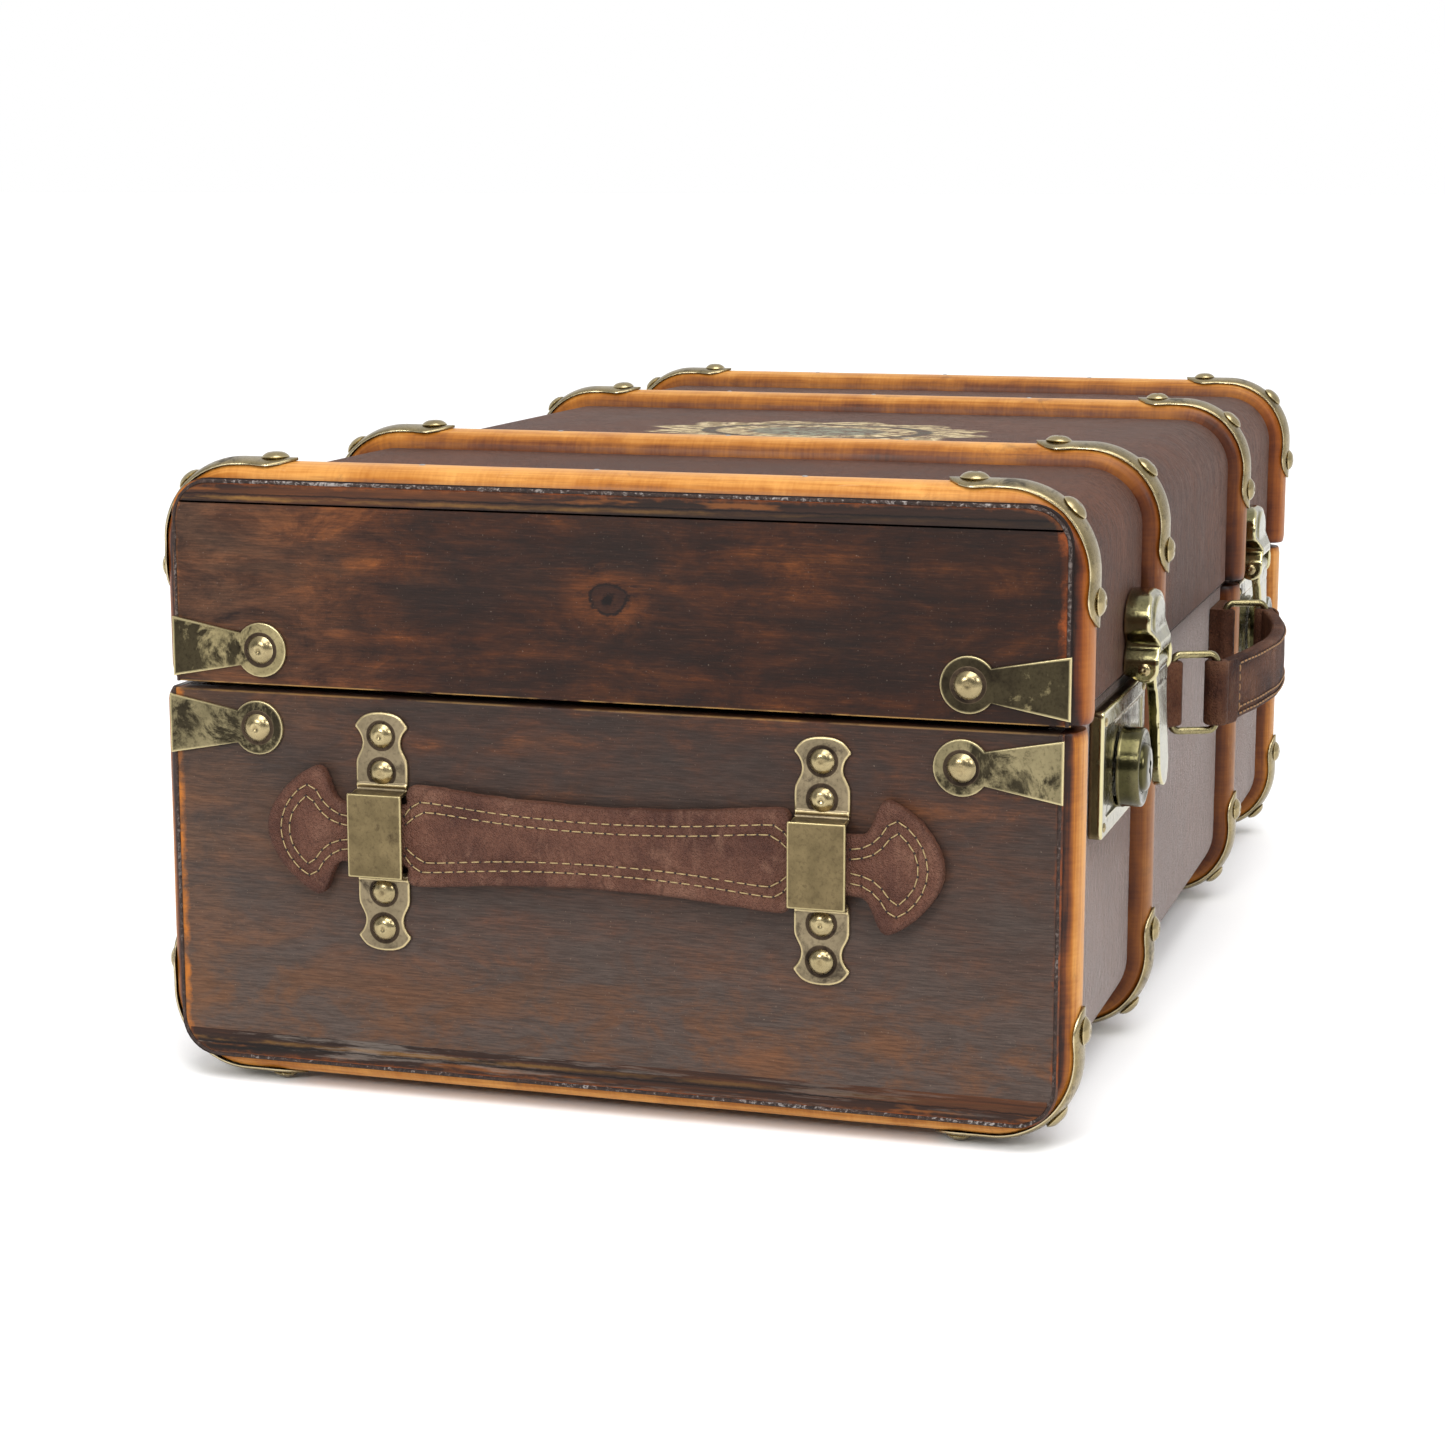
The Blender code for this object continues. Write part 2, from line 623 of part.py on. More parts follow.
# ---- front handle ----
def ring_mesh():
    """A rectangular wire ring, from its inner bar at the origin out to -Y."""
    low = RING_CORNER
    reach = RING_REACH - RING_CORNER
    high = RING_HALF - RING_CORNER
    path = [*arc((low, high), RING_CORNER, 180, 90, 3), *arc((reach, high), RING_CORNER, 90, 0, 3),
            *arc((reach, -high), RING_CORNER, 0, -90, 3), *arc((low, -high), RING_CORNER, -90, -180, 3)]
    curve = bpy.data.curves.new("ring", "CURVE")
    curve.dimensions = "3D"
    curve.bevel_depth = RING_WIRE
    curve.bevel_resolution = 2
    add_spline(curve, path, True)
    mesh = baked(scratch(curve))
    mesh.transform(Matrix.Rotation(-pi / 2, 4, "Z") @ Matrix.Rotation(pi / 2, 4, "X"))
    return smoothed(mesh, 60)


def tab_mesh(direction):
    """A leather tab folded round the ring's inner bar; direction -1 is the left tab."""
    back = RING_OUT - GAP
    fold = arc((0, 0), TAB_EYE, 40, -125, 8)
    profile = [(-TAB_LENGTH, back), (0.0020, back), *fold,
               (-0.0150, back - TAB_THICK - 0.0004), (-TAB_LENGTH, back - TAB_THICK)]
    hole = arc((0, 0), EYE_HOLE, 0, 330, 11)
    if direction > 0:
        profile = [(-x, y) for x, y in profile]
    tab = outline_mesh([profile, hole], TAB_TALL, ALONG_Z)
    rivet = moved(rivet_mesh(), FACE_FRONT @ Matrix.Diagonal((0.85, 0.85, 0.85, 1)))
    rivets = [moved(rivet, Matrix.Translation((direction * 0.0195, back - TAB_THICK - 0.0001, z)))
              for z in (-0.0066, 0.0066)]
    return joined(tab, [("UNION", mesh) for mesh in rivets])


def grip_mesh():
    """The bowed leather grip, from the left ring's outer bar at the origin."""
    span = 2 * RING_X
    steps = 12
    bow = [(span * i / steps, -GRIP_BOW * sin(pi * i / steps) ** 0.8 if 0 < i < steps else 0)
           for i in range(steps + 1)]
    outer = [(x, y - GRIP_THICK / 2) for x, y in bow]
    inner = [(x, y + GRIP_THICK / 2) for x, y in reversed(bow)]
    band = outline_mesh([outer + inner], GRIP_TALL, ALONG_Z)
    steps = []
    for x in (0, span):
        steps.append(("UNION", rod_mesh(GRIP_EYE, GRIP_TALL, ALONG_Z, (x, 0, 0), 14)))
    for x in (0, span):
        steps.append(("DIFFERENCE", rod_mesh(EYE_HOLE, GRIP_TALL * 2, ALONG_Z, (x, 0, 0))))
    return joined(band, steps)


def add_front_handle(base):
    level = SEAM_Z - RING_DROP
    inner_y = -CASE_HALF - RING_OUT
    ring = ring_mesh()
    grip_at = (-RING_X + RING_REACH * sin(RING_LEAN), inner_y - RING_REACH * cos(RING_LEAN), level)
    for direction, end in ((-1, "left"), (1, "right")):
        bar = (direction * RING_X, inner_y, level)
        put(f"front_tab_{end}", tab_mesh(direction), GRIP_LEATHER, base, bar)
        ring_axis = axis_empty(f"front_ring_{end}_axis", bar, base)
        put(f"front_ring_{end}", ring, BRASS, ring_axis, bar, (0, 0, RING_LEAN))
    grip_axis = axis_empty("front_grip_axis", grip_at, bpy.data.objects["front_ring_left_axis"])
    put("front_grip", grip_mesh(), GRIP_LEATHER, grip_axis, grip_at)


# ---- back hinge ----
def hinge_leaf_mesh(side):
    """One leaf with its knuckles, about the pin; side -1 is the base leaf."""
    knuckle = HINGE_LENGTH / HINGE_PARTS
    clear = HINGE_KNUCKLE + 2 * GAP
    leaf_y = -HINGE_KNUCKLE + HINGE_LEAF / 2
    packing = LID_SHIFT if side > 0 else 0
    tall = HINGE_TALL - clear
    leaf = box_mesh((HINGE_LENGTH, HINGE_LEAF + packing, tall),
                    (0, leaf_y - packing / 2, side * (clear + tall / 2)))
    own = range(0, HINGE_PARTS, 2) if side < 0 else range(1, HINGE_PARTS, 2)
    unions = []
    bores = []
    for number in own:
        x = (number + 0.5) * knuckle - HINGE_LENGTH / 2
        size = knuckle - 2 * GAP
        unions.append(("UNION", rod_mesh(HINGE_KNUCKLE, size, ROD_X, (x, 0, 0))))
        tongue = (size, HINGE_LEAF, clear + 0.001)
        unions.append(("UNION", box_mesh(tongue, (x, leaf_y, side * (clear + 0.001) / 2))))
        bores.append(("DIFFERENCE", rod_mesh(HINGE_BORE, size * 1.2, ROD_X, (x, 0, 0))))
    return joined(leaf, unions + bores)


def add_hinge(base, lid):
    place = (0, HINGE_Y, SEAM_Z)
    put("hinge_leaf_base", hinge_leaf_mesh(-1), BRASS, base, place)
    put("hinge_leaf_lid", hinge_leaf_mesh(1), BRASS, lid, (0, HINGE_Y + LID_SHIFT, SEAM_Z))
    pin = rod_mesh(HINGE_WIRE, HINGE_LENGTH + 0.004, ROD_X)
    put("hinge_pin", pin, BRASS, base, place)


def build():
    base = axis_empty("case", (0, 0, 0))
    lid = axis_empty("lid_axis", (0, HINGE_Y, SEAM_Z), base)
    lid["place"] = (0, HINGE_Y + LID_SHIFT, SEAM_Z)    # brings the lid's pieces forward
    base_rim = SEAM_Z - SEAM_GAP / 2
    lid_rim = SEAM_Z + SEAM_GAP / 2
    case_wrap("base_wrap", -1, base_rim, base)
    case_wrap("lid_wrap", 1, lid_rim, lid)
    for direction, end in ((-1, "left"), (1, "right")):
        case_end(f"base_end_{end}", -1, base_rim, direction, base)
        case_end(f"lid_end_{end}", 1, lid_rim, direction, lid)
        add_end_fittings(direction, base, lid)
        add_latch(direction, base, lid)
    add_hoops_and_straps(base, lid)
    add_front_handle(base)
    add_hinge(base, lid)
    base.location = (0, CASE_Y, 0)


clear_scene()
TRUNK = collection("steamer_trunk")
CUTTERS = collection("cutters")
build()
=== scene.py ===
"""Looks of the steamer trunk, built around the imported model's frame.

Metres, +Z up. The latches are on the -Y side, and "left" is -X, the end that faces the camera.
"""
import json
from collections import namedtuple
from math import asin, ceil, cos, degrees, dist, pi, radians, sin, sqrt, tan

import bmesh
import bpy
from mathutils import Matrix, Vector, noise
from mathutils.kdtree import KDTree


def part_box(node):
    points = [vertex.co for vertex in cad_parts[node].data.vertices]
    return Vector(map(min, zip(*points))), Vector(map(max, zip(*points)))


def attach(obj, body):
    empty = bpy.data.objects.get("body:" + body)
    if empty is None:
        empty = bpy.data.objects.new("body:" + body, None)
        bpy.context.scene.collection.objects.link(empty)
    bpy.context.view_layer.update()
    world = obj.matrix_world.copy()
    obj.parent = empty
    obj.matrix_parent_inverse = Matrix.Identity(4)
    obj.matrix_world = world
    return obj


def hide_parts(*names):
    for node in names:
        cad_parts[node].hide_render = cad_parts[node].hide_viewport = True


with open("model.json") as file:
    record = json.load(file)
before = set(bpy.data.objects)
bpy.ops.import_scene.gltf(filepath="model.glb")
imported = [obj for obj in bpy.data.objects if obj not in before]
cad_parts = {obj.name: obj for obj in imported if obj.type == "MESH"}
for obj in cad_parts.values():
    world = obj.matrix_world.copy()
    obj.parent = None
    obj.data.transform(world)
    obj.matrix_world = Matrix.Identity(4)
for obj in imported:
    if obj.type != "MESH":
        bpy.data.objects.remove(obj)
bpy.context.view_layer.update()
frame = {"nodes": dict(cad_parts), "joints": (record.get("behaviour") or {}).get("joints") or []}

# ---- places and sizes, from the frame ----
Half = namedtuple("Half", "name side body y rim flat")


def span(node):
    """The low corner, high corner, centre and size of a node's box."""
    low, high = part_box(node)
    return low, high, (low + high) / 2, high - low


def extent(node):
    return span(node)[3]


def pivot_of(joint):
    return Vector(next(j["pos_m"] for j in frame["joints"] if j["name"] == joint))


BASE = Half("base", -1, "base", span("base_wrap")[2].y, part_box("base_wrap")[1].z,
            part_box("base_wrap")[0].z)
LID = Half("lid", 1, "lid", span("lid_wrap")[2].y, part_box("lid_wrap")[0].z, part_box("lid_wrap")[1].z)
HALVES = (BASE, LID)
CASE_HALF = extent("base_wrap").y / 2
SEAM = (BASE.rim + LID.rim) / 2
FACE_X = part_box("base_end_right")[1].x
PANEL = extent("base_end_right").x
SLAT_X = [span(f"base_hoop_{n}")[2].x for n in range(1, 5)]
SLAT_WIDTH = extent("base_hoop_2").x
SLAT_HEIGHT = BASE.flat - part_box("base_hoop_2")[0].z
FACING_LAP = (extent("base_end_right").y - 2 * CASE_HALF) / 2

GAP = 0.0003
WALL = 0.0050
CORNER = 0.0200            # outer corner radius of the case
FACING = 0.0018            # outer skin of an end panel
FACING_CORNER = 0.0130
BEAD = 0.0006              # radius of the worn bead round an end panel
BORDER = {"lid": 0.0064, "base": 0.0078}  # the darker strip along a panel's long edge
STRAP = 0.0009
STRAP_DROOP = 0.0017       # how far the strap's edges bend down over the slat
RIVET = 0.0046
NOTCH_ANGLE = radians(52)  # mitre that lets the slats fold past each other at the back
NOTCH_START = 0.0027
HANDLE_THICK = extent("end_handle_left").x
THREAD = 0.00023
VOXEL = 0.00036            # grid of the cast pieces' skin
RING_WIRE = 0.0014
RING_LEAN = radians(25)
WORLD_DARK, WORLD_BRIGHT = 0.28, 1.0

LEFT, RIGHT = -1, 1
SIDES = ((LEFT, "left"), (RIGHT, "right"))
ROWS = ((-1, "front"), (1, "back"))


# ---- mesh tools ----
def mesh_from(bm):
    mesh = bpy.data.meshes.new("made")
    bm.to_mesh(mesh)
    bm.free()
    return mesh


def mesh_of(points, faces, weld=1e-6):
    mesh = bpy.data.meshes.new("made")
    mesh.from_pydata([tuple(p) for p in points], [], faces)
    bm = bmesh.new()
    bm.from_mesh(mesh)
    bmesh.ops.remove_doubles(bm, verts=bm.verts, dist=weld)
    bmesh.ops.recalc_face_normals(bm, faces=bm.faces)
    return mesh_from(bm)


def loft(loops, closed=False, around=True):
    """A skin over loops of points, with the first and last filled, or joined to each other."""
    count = len(loops[0])
    faces = []
    for i in range(len(loops) if closed else len(loops) - 1):
        here = i * count
        there = (i + 1) % len(loops) * count
        for j in range(count if around else count - 1):
            k = (j + 1) % count
            faces.append((here + j, here + k, there + k, there + j))
    if not closed:
        faces.append(tuple(range(count - 1, -1, -1)))
        faces.append(tuple(range((len(loops) - 1) * count, len(loops) * count)))
    return mesh_of([p for loop in loops for p in loop], faces)


def turned(profile, steps=28):
    """A solid of revolution about Z; the profile is (radius, height) from top to foot."""
    turns = [2 * pi * i / steps for i in range(steps)]
    loops = [[(r * cos(turn), r * sin(turn), z) for r, z in profile] for turn in turns]
    return loft(loops, closed=True, around=False)


def plate(outline, thick, edge=0.0001, inset=0, segments=3):
    """A flat plate from z = 0 up to `thick`, its upper rim rounded by `edge`.

    With an `inset`, its top has a narrow band of faces inside the rim.
    """
    bm = bmesh.new()
    face = bm.faces.new([bm.verts.new((x, y, 0)) for x, y in outline])
    face.normal_update()
    if face.normal.z > 0:
        face.normal_flip()
    grown = bmesh.ops.extrude_face_region(bm, geom=[face])["geom"]
    top = {item for item in grown if isinstance(item, bmesh.types.BMVert)}
    bmesh.ops.translate(bm, vec=(0, 0, thick), verts=list(top))
    rim = [e for e in bm.edges if e.verts[0] in top and e.verts[1] in top]
    bmesh.ops.bevel(bm, geom=rim, offset=edge, segments=segments, profile=0.5, affect="EDGES",
                    clamp_overlap=True)
    bm.normal_update()
    cap = max((f for f in bm.faces if f.calc_center_median().z > thick * 0.7),
              key=lambda f: f.calc_area())
    if inset:
        bmesh.ops.inset_region(bm, faces=[cap], thickness=inset, use_even_offset=True)
    bmesh.ops.recalc_face_normals(bm, faces=bm.faces)
    return mesh_from(bm)


def box_mesh(size, centre=(0, 0, 0)):
    bm = bmesh.new()
    bmesh.ops.create_cube(bm, size=1)
    bmesh.ops.scale(bm, vec=size, verts=bm.verts)
    bmesh.ops.translate(bm, vec=centre, verts=bm.verts)
    return mesh_from(bm)


def at(x=0, y=0, z=0):
    return Matrix.Translation((x, y, z))


def scaled(x, y, z):
    return Matrix.Diagonal((x, y, z, 1))


def rolled(angle, axis):
    return Matrix.Rotation(angle, 4, axis)


def moved(mesh, matrix):
    copy = mesh.copy()
    copy.transform(matrix)
    if matrix.determinant() < 0:
        copy.flip_normals()
    return copy


def together(meshes):
    """Several meshes as the loose parts of one."""
    bm = bmesh.new()
    for mesh in meshes:
        bm.from_mesh(mesh)
    return mesh_from(bm)


def linked(data, name="scratch"):
    obj = bpy.data.objects.new(name, data)
    bpy.context.scene.collection.objects.link(obj)
    return obj


def modified(obj, kind, **settings):
    modifier = obj.modifiers.new(kind.lower(), kind)
    for key, value in settings.items():
        setattr(modifier, key, value)


def baked(obj):
    depsgraph = bpy.context.evaluated_depsgraph_get()
    mesh = bpy.data.meshes.new_from_object(obj.evaluated_get(depsgraph))
    bpy.data.objects.remove(obj, do_unlink=True)
    return mesh


def carved(mesh, *steps):
    """Boolean steps, (operation, mesh) each."""
    obj = linked(mesh)
    others = []
    for operation, other in steps:
        others.append(linked(other))
        modified(obj, "BOOLEAN", operation=operation, solver="EXACT", object=others[-1])
    mesh = baked(obj)
    for other in others:
        bpy.data.objects.remove(other, do_unlink=True)
    return mesh


def remeshed(mesh, voxel, soften, keep=1.0):
    """The same form as one soft skin, as of cast metal or thick leather."""
    obj = linked(mesh)
    modified(obj, "REMESH", mode="VOXEL", voxel_size=voxel)
    modified(obj, "SMOOTH", factor=0.5, iterations=soften)
    if keep < 1:
        modified(obj, "DECIMATE", ratio=keep)
    return baked(obj)


def smoothed(mesh, angle):
    mesh.shade_smooth()
    mesh.set_sharp_from_angle(angle=radians(angle))
    return mesh


def worn(mesh, angle, gain=1.0, spread=1):
    """Smooth, with how convex it is at each vertex stored, 0 to 1, for edges rubbed bright."""
    smoothed(mesh, angle)
    bm = bmesh.new()
    bm.from_mesh(mesh)
    bm.normal_update()
    bend = []
    for v in bm.verts:
        total = 0
        for e in v.link_edges:
            away = e.other_vert(v).co - v.co
            total -= v.normal.dot(away) / max(away.length, 1e-7)
        bend.append(total / max(1, len(v.link_edges)))
    for _ in range(spread):
        bend = [0.5 * bend[v.index] + 0.5 * sum(bend[e.other_vert(v).index] for e in v.link_edges)
                / max(1, len(v.link_edges)) for v in bm.verts]
    bm.free()
    layer = mesh.attributes.new("wear", "FLOAT", "POINT")
    layer.data.foreach_set("value", [min(1.0, max(0.0, value * gain)) for value in bend])
    return mesh


def add(name, mesh, paint, body, replaces=()):
    """A finished piece that rides on a body."""
    obj = linked(mesh, name)
    mesh.materials.clear()
    mesh.materials.append(paint)
    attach(obj, body)
    if replaces:
        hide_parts(*replaces)


# ---- lines ----
def smooth_line(points, closed=False, per=8):
    """A Catmull-Rom curve through the points."""
    points = [Vector(p) for p in points]
    count = len(points)
    line = []
    for i in range(count if closed else count - 1):
        near = [(i + k) % count if closed else min(max(i + k, 0), count - 1) for k in (-1, 0, 1, 2)]
        a, b, c, d = (points[k] for k in near)
        for j in range(per):
            t = j / per
            line.append(0.5 * (2 * b + (c - a) * t + (2 * a - 5 * b + 4 * c - d) * t * t
                               + (3 * b - a - 3 * c + d) * t ** 3))
    if not closed:
        line.append(points[-1])
    return line


def lengths(line):
    total = [0.0]
    for a, b in zip(line, line[1:]):
        total.append(total[-1] + (b - a).length)
    return total


def point_at(line, total, where):
    where = min(max(where, 0), total[-1])
    for i in range(len(line) - 1):
        if where <= total[i + 1]:
            share = (where - total[i]) / max(total[i + 1] - total[i], 1e-9)
            return line[i].lerp(line[i + 1], share)
    return line[-1]


def mirrored(right):
    """A line that starts at x = 0, after its own reflection, as one line from -X to +X."""
    return [(-p[0], p[1]) for p in reversed(right[1:])] + [(p[0], p[1]) for p in right]


def arc(centre, radius, start, stop, steps):
    turn = (stop - start) / steps
    return [(centre[0] + radius * cos(radians(start + turn * i)),
             centre[1] + radius * sin(radians(start + turn * i))) for i in range(steps + 1)]


def rounded_box(half_x, half_y, radius, steps=6):
    line = []
    for sx, sy, start in ((1, 1, 0), (-1, 1, 90), (-1, -1, 180), (1, -1, 270)):
        centre = (sx * (half_x - radius), sy * (half_y - radius))
        line += arc(centre, radius, start, start + 90, steps)
    return line


def u_path(half, offset, radius=CORNER, steps=14, spacing=None):
    """The section of the base or lid as an open U in (y, z), from the front rim to the back."""
    reach = CASE_HALF + offset
    round_by = radius + offset
    flat = half.flat + half.side * offset
    level = flat - half.side * round_by
    first = arc((half.y - reach + round_by, level), round_by, 180, 180 - half.side * 90, steps)
    last = arc((half.y + reach - round_by, level), round_by, half.side * 90, 0, steps)
    line = [(half.y - reach, half.rim), *first, *last, (half.y + reach, half.rim)]
    if spacing is None:
        return line
    dense = []
    for a, b in zip(line, line[1:]):
        parts = max(1, ceil(dist(a, b) / spacing))
        dense += [(a[0] + (b[0] - a[0]) * i / parts, a[1] + (b[1] - a[1]) * i / parts)
                  for i in range(parts)]
    return dense + [line[-1]]


def lifted(line, half, rise):
    """A U path with its points on the rim moved up or down."""
    return [(y, z if abs(z - half.rim) > 1e-6 else half.rim + half.side * rise) for y, z in line]


def axes_frame(x, y, z, origin):
    """The matrix that takes local x, y and z to these directions, from the origin."""
    return Matrix((*zip(x, y, z, origin), (0, 0, 0, 1)))


def end_frame(way, x):
    """Local x and y along Y and Z, and z along X or against it, from the plane at x."""
    return axes_frame((0, 1, 0), (0, 0, 1), (way, 0, 0), (x, 0, 0))


def outward_frame(direction, origin):
    """Local x, y and z of an end panel's fitting: along Y, up, and out of the panel."""
    return axes_frame((0, direction, 0), (0, 0, 1), (direction, 0, 0), origin)


def front_frame(x, y, z):
    """Local x, y and z of a fitting on the front: along X, up, and out to -Y."""
    return axes_frame((1, 0, 0), (0, 0, 1), (0, -1, 0), (x, y, z))


# ---- materials ----
class Field:
    """A value that varies over a surface. Arithmetic on it adds nodes."""

    def __init__(self, graph, socket):
        self.graph, self.socket = graph, socket

    def __add__(self, other):
        return self.graph.math("ADD", self, other)

    def __mul__(self, other):
        return self.graph.math("MULTIPLY", self, other)

    def __sub__(self, other):
        return self.graph.math("SUBTRACT", self, other)

    def __rsub__(self, other):
        return self.graph.math("SUBTRACT", other, self)

    def __abs__(self):
        return self.graph.math("ABSOLUTE", self)

    def level(self, low, high, to_low=0.0, to_high=1.0):
        inputs = {"Value": self, "From Min": low, "From Max": high, "To Min": to_low,
                  "To Max": to_high}
        return self.graph.node("ShaderNodeMapRange", inputs, "Result")

    def near(self, centre, low, high, most=1):
        """`most` within `low` of the centre, fading to nothing at `high`."""
        return abs(self - centre).level(low, high, most, 0)

    def sine(self):
        return self.graph.math("SINE", self)


class Graph:
    """Short calls that add nodes to a new material or world."""

    def __init__(self, name, kind="materials", shader="Principled BSDF"):
        self.owner = getattr(bpy.data, kind).new(name)
        self.owner.use_nodes = True
        self.tree = self.owner.node_tree
        self.shader = self.tree.nodes[shader]

    def feed(self, socket, value):
        if isinstance(value, Field):
            self.tree.links.new(value.socket, socket)
        elif socket.type == "RGBA":
            socket.default_value = (*value[:3], 1)
        else:
            socket.default_value = value

    def node(self, kind, inputs, output=0, **settings):
        made = self.tree.nodes.new(kind)
        for key, value in settings.items():
            setattr(made, key, value)
        for key, value in inputs.items():
            self.feed(made.inputs[key], value)
        return Field(self, made.outputs[output])

    def place(self, scale=(1, 1, 1), shift=(0, 0, 0)):
        return self.stretched(self.node("ShaderNodeTexCoord", {}, "Object"), scale, shift)

    def lay(self, scale=(1, 1, 1)):
        where = self.node("ShaderNodeAttribute", {}, "Vector", attribute_name="lay")
        return self.stretched(where, scale)

    def wear(self):
        return self.node("ShaderNodeAttribute", {}, "Fac", attribute_name="wear")

    def stretched(self, vector, scale, shift=(0, 0, 0)):
        return self.node("ShaderNodeMapping", {"Vector": vector, "Scale": scale, "Location": shift})

    def axes(self, vector):
        x = self.node("ShaderNodeSeparateXYZ", {0: vector})
        return x, *(Field(self, x.socket.node.outputs[i]) for i in (1, 2))

    def noise(self, vector, scale, detail=4, rough=0.55, twist=0.0):
        inputs = {"Vector": vector, "Scale": scale, "Detail": detail, "Roughness": rough,
                  "Distortion": twist}
        return self.node("ShaderNodeTexNoise", inputs, "Fac")

    def drawn(self, scale, detail, rough, twist=0.0, shift=(0, 0, 0)):
        """Noise drawn out along the axes: `scale` is how fine it is along each."""
        return self.noise(self.place(scale, shift), 1, detail, rough, twist)

    def cells(self, vector, scale, feature="F1"):
        return self.node("ShaderNodeTexVoronoi", {"Vector": vector, "Scale": scale}, "Distance",
                         feature=feature)

    def math(self, operation, first, second=0.0):
        return self.node("ShaderNodeMath", {0: first, 1: second}, operation=operation)

    def vector(self, operation, *inputs):
        output = "Value" if operation == "LENGTH" else 0
        return self.node("ShaderNodeVectorMath", dict(enumerate(inputs)), output,
                         operation=operation)

    def mix(self, factor, first, second, blend="MIX"):
        return self.node("ShaderNodeMix", {0: factor, 6: first, 7: second}, 2, data_type="RGBA",
                         blend_type=blend)

    def layered(self, colour, *layers):
        """The colour under layers of (mask, colour), or (mask, colour, blend), in this order."""
        for mask, *tint in layers:
            colour = self.mix(mask, colour, *tint)
        return colour

    def ramp(self, factor, *stops):
        made = self.node("ShaderNodeValToRGB", {"Fac": factor}, "Color")
        scale = made.socket.node.color_ramp.elements
        for _ in stops[2:]:
            scale.new(0.5)
        for element, (position, colour) in zip(scale, stops):
            element.position = position
            element.color = (*colour, 1)
        return made

    def bumps(self, *layers):
        """A normal from layers of (height, distance, strength), each over the one before."""
        normal = None
        for height, distance, strength in layers:
            inputs = {"Height": height, "Distance": distance, "Strength": strength}
            if normal:
                inputs["Normal"] = normal
            normal = self.node("ShaderNodeBump", inputs, "Normal")
        return normal

    def finish(self, colour, roughness, normal=None, **fixed):
        self.feed(self.shader.inputs["Base Color"], colour)
        self.feed(self.shader.inputs["Roughness"], roughness)
        if normal:
            self.feed(self.shader.inputs["Normal"], normal)
        for key, value in fixed.items():
            self.feed(self.shader.inputs[key.replace("_", " ")], value)
        return self.owner


def brass(name, bright, rubbed_to, dark, patina, gloss, dents=0.0005, grit=1.0):
    """Antique brass: dark where patina stays, bright where the edges are rubbed."""
    g = Graph(name)
    where = g.place()
    clouds = g.noise(where, 60, 8, 0.70, 0.5)
    soft = g.noise(where, 110, 4, 0.6)
    specks = g.noise(where, 900, 3, 0.6)
    rubbed = (g.wear() + clouds * 0.15).level(0.16, 0.45)
    edge = 0.66 - 0.22 * patina
    stain = clouds.level(edge - 0.02, edge + 0.07) * rubbed.level(0, 1, 1, 0.1)
    pits = g.noise(where, 420, 4, 0.6).level(0.60, 0.72)
    scratches = g.drawn((900, 60, 300), 2, 0.5)
    colour = g.mix(soft.level(0.35, 0.65), bright, [c * 0.66 for c in bright])
    colour = g.layered(colour,
                       (specks.level(0.52, 0.68, 0, 0.35), dark),
                       (stain * soft.level(0.35, 0.6, 0.98, 0.84), dark),
                       (pits * 0.45, dark),
                       (rubbed, rubbed_to))
    rough = stain.level(0, 1, gloss, gloss + 0.2) + specks.level(0.3, 0.7, -0.05, 0.08)
    normal = g.bumps((specks, 0.00003, 0.8 * grit),
                     (pits * -1.0 + scratches * 0.25, 0.00006, 0.8 * grit),
                     (soft, dents, 0.30))
    return g.finish(colour, rough, normal, Metallic=1.0)


def leather(name, base, light, dark, edge, grain, rough, shine=0.22):
    """Thick leather: pebbled grain, creases, scuffs, burnished edges and painted highlights on raised
    wrinkles.
    """
    g = Graph(name)
    where = g.place()
    clouds = g.noise(where, 45, 5, 0.6)
    fine = g.noise(where, grain, 5, 0.65)
    pores = g.cells(where, grain * 1.3)
    scuffs = g.noise(g.place((1, 1, 1), (0.3, 0.1, 0.7)), 160, 7, 0.7, 0.6).level(0.57, 0.70)
    creases = g.cells(g.stretched(where, (1, 1, 0.7)), 95, "DISTANCE_TO_EDGE").level(0, 0.06, 1, 0)
    creases *= clouds.level(0.45, 0.6)
    folds_and_highlights = g.drawn((60, 130, 40), 6, 0.7, 0.6)
    colour = g.layered(g.ramp(clouds, (0.30, dark), (0.52, base), (0.75, light)),
                       (fine.level(0.38, 0.68, 0, 0.42), dark),
                       (scuffs * 0.4, light),
                       (g.wear().level(0.12, 0.5, 0, 0.6), edge),
                       (creases * 0.45, dark),
                       # painted highlights on the raised wrinkles
                       (folds_and_highlights.level(0.55, 0.72, 0, 0.35), light))
    normal = g.bumps((fine + pores.level(0, 0.6, 0, 0.9) + creases * -1.2, 0.00042, 1.0),
                     (clouds + folds_and_highlights, 0.0009, 0.45))
    return g.finish(colour, fine.level(0.3, 0.7, rough - 0.06, rough + 0.1), normal,
                    Specular_IOR_Level=shine)


def rim_distance(g):
    """Distance inside the rounded outline of the whole case, seen from the end."""
    y, z = CASE_HALF + FACING_LAP, (LID.flat - BASE.flat) / 2 + FACING_LAP
    centre = (0, -(BASE.y + LID.y) / 2, -(LID.flat + BASE.flat) / 2)
    part = g.vector("SUBTRACT", g.vector("ABSOLUTE", g.place((0, 1, 1), centre)),
                    (0.0, y - FACING_CORNER, z - FACING_CORNER))
    reach = g.vector("LENGTH", g.vector("MAXIMUM", part, (0, 0, 0)))
    _, dy, dz = g.axes(part)
    return FACING_CORNER - (reach + g.math("MINIMUM", g.math("MAXIMUM", dy, dz), 0.0))


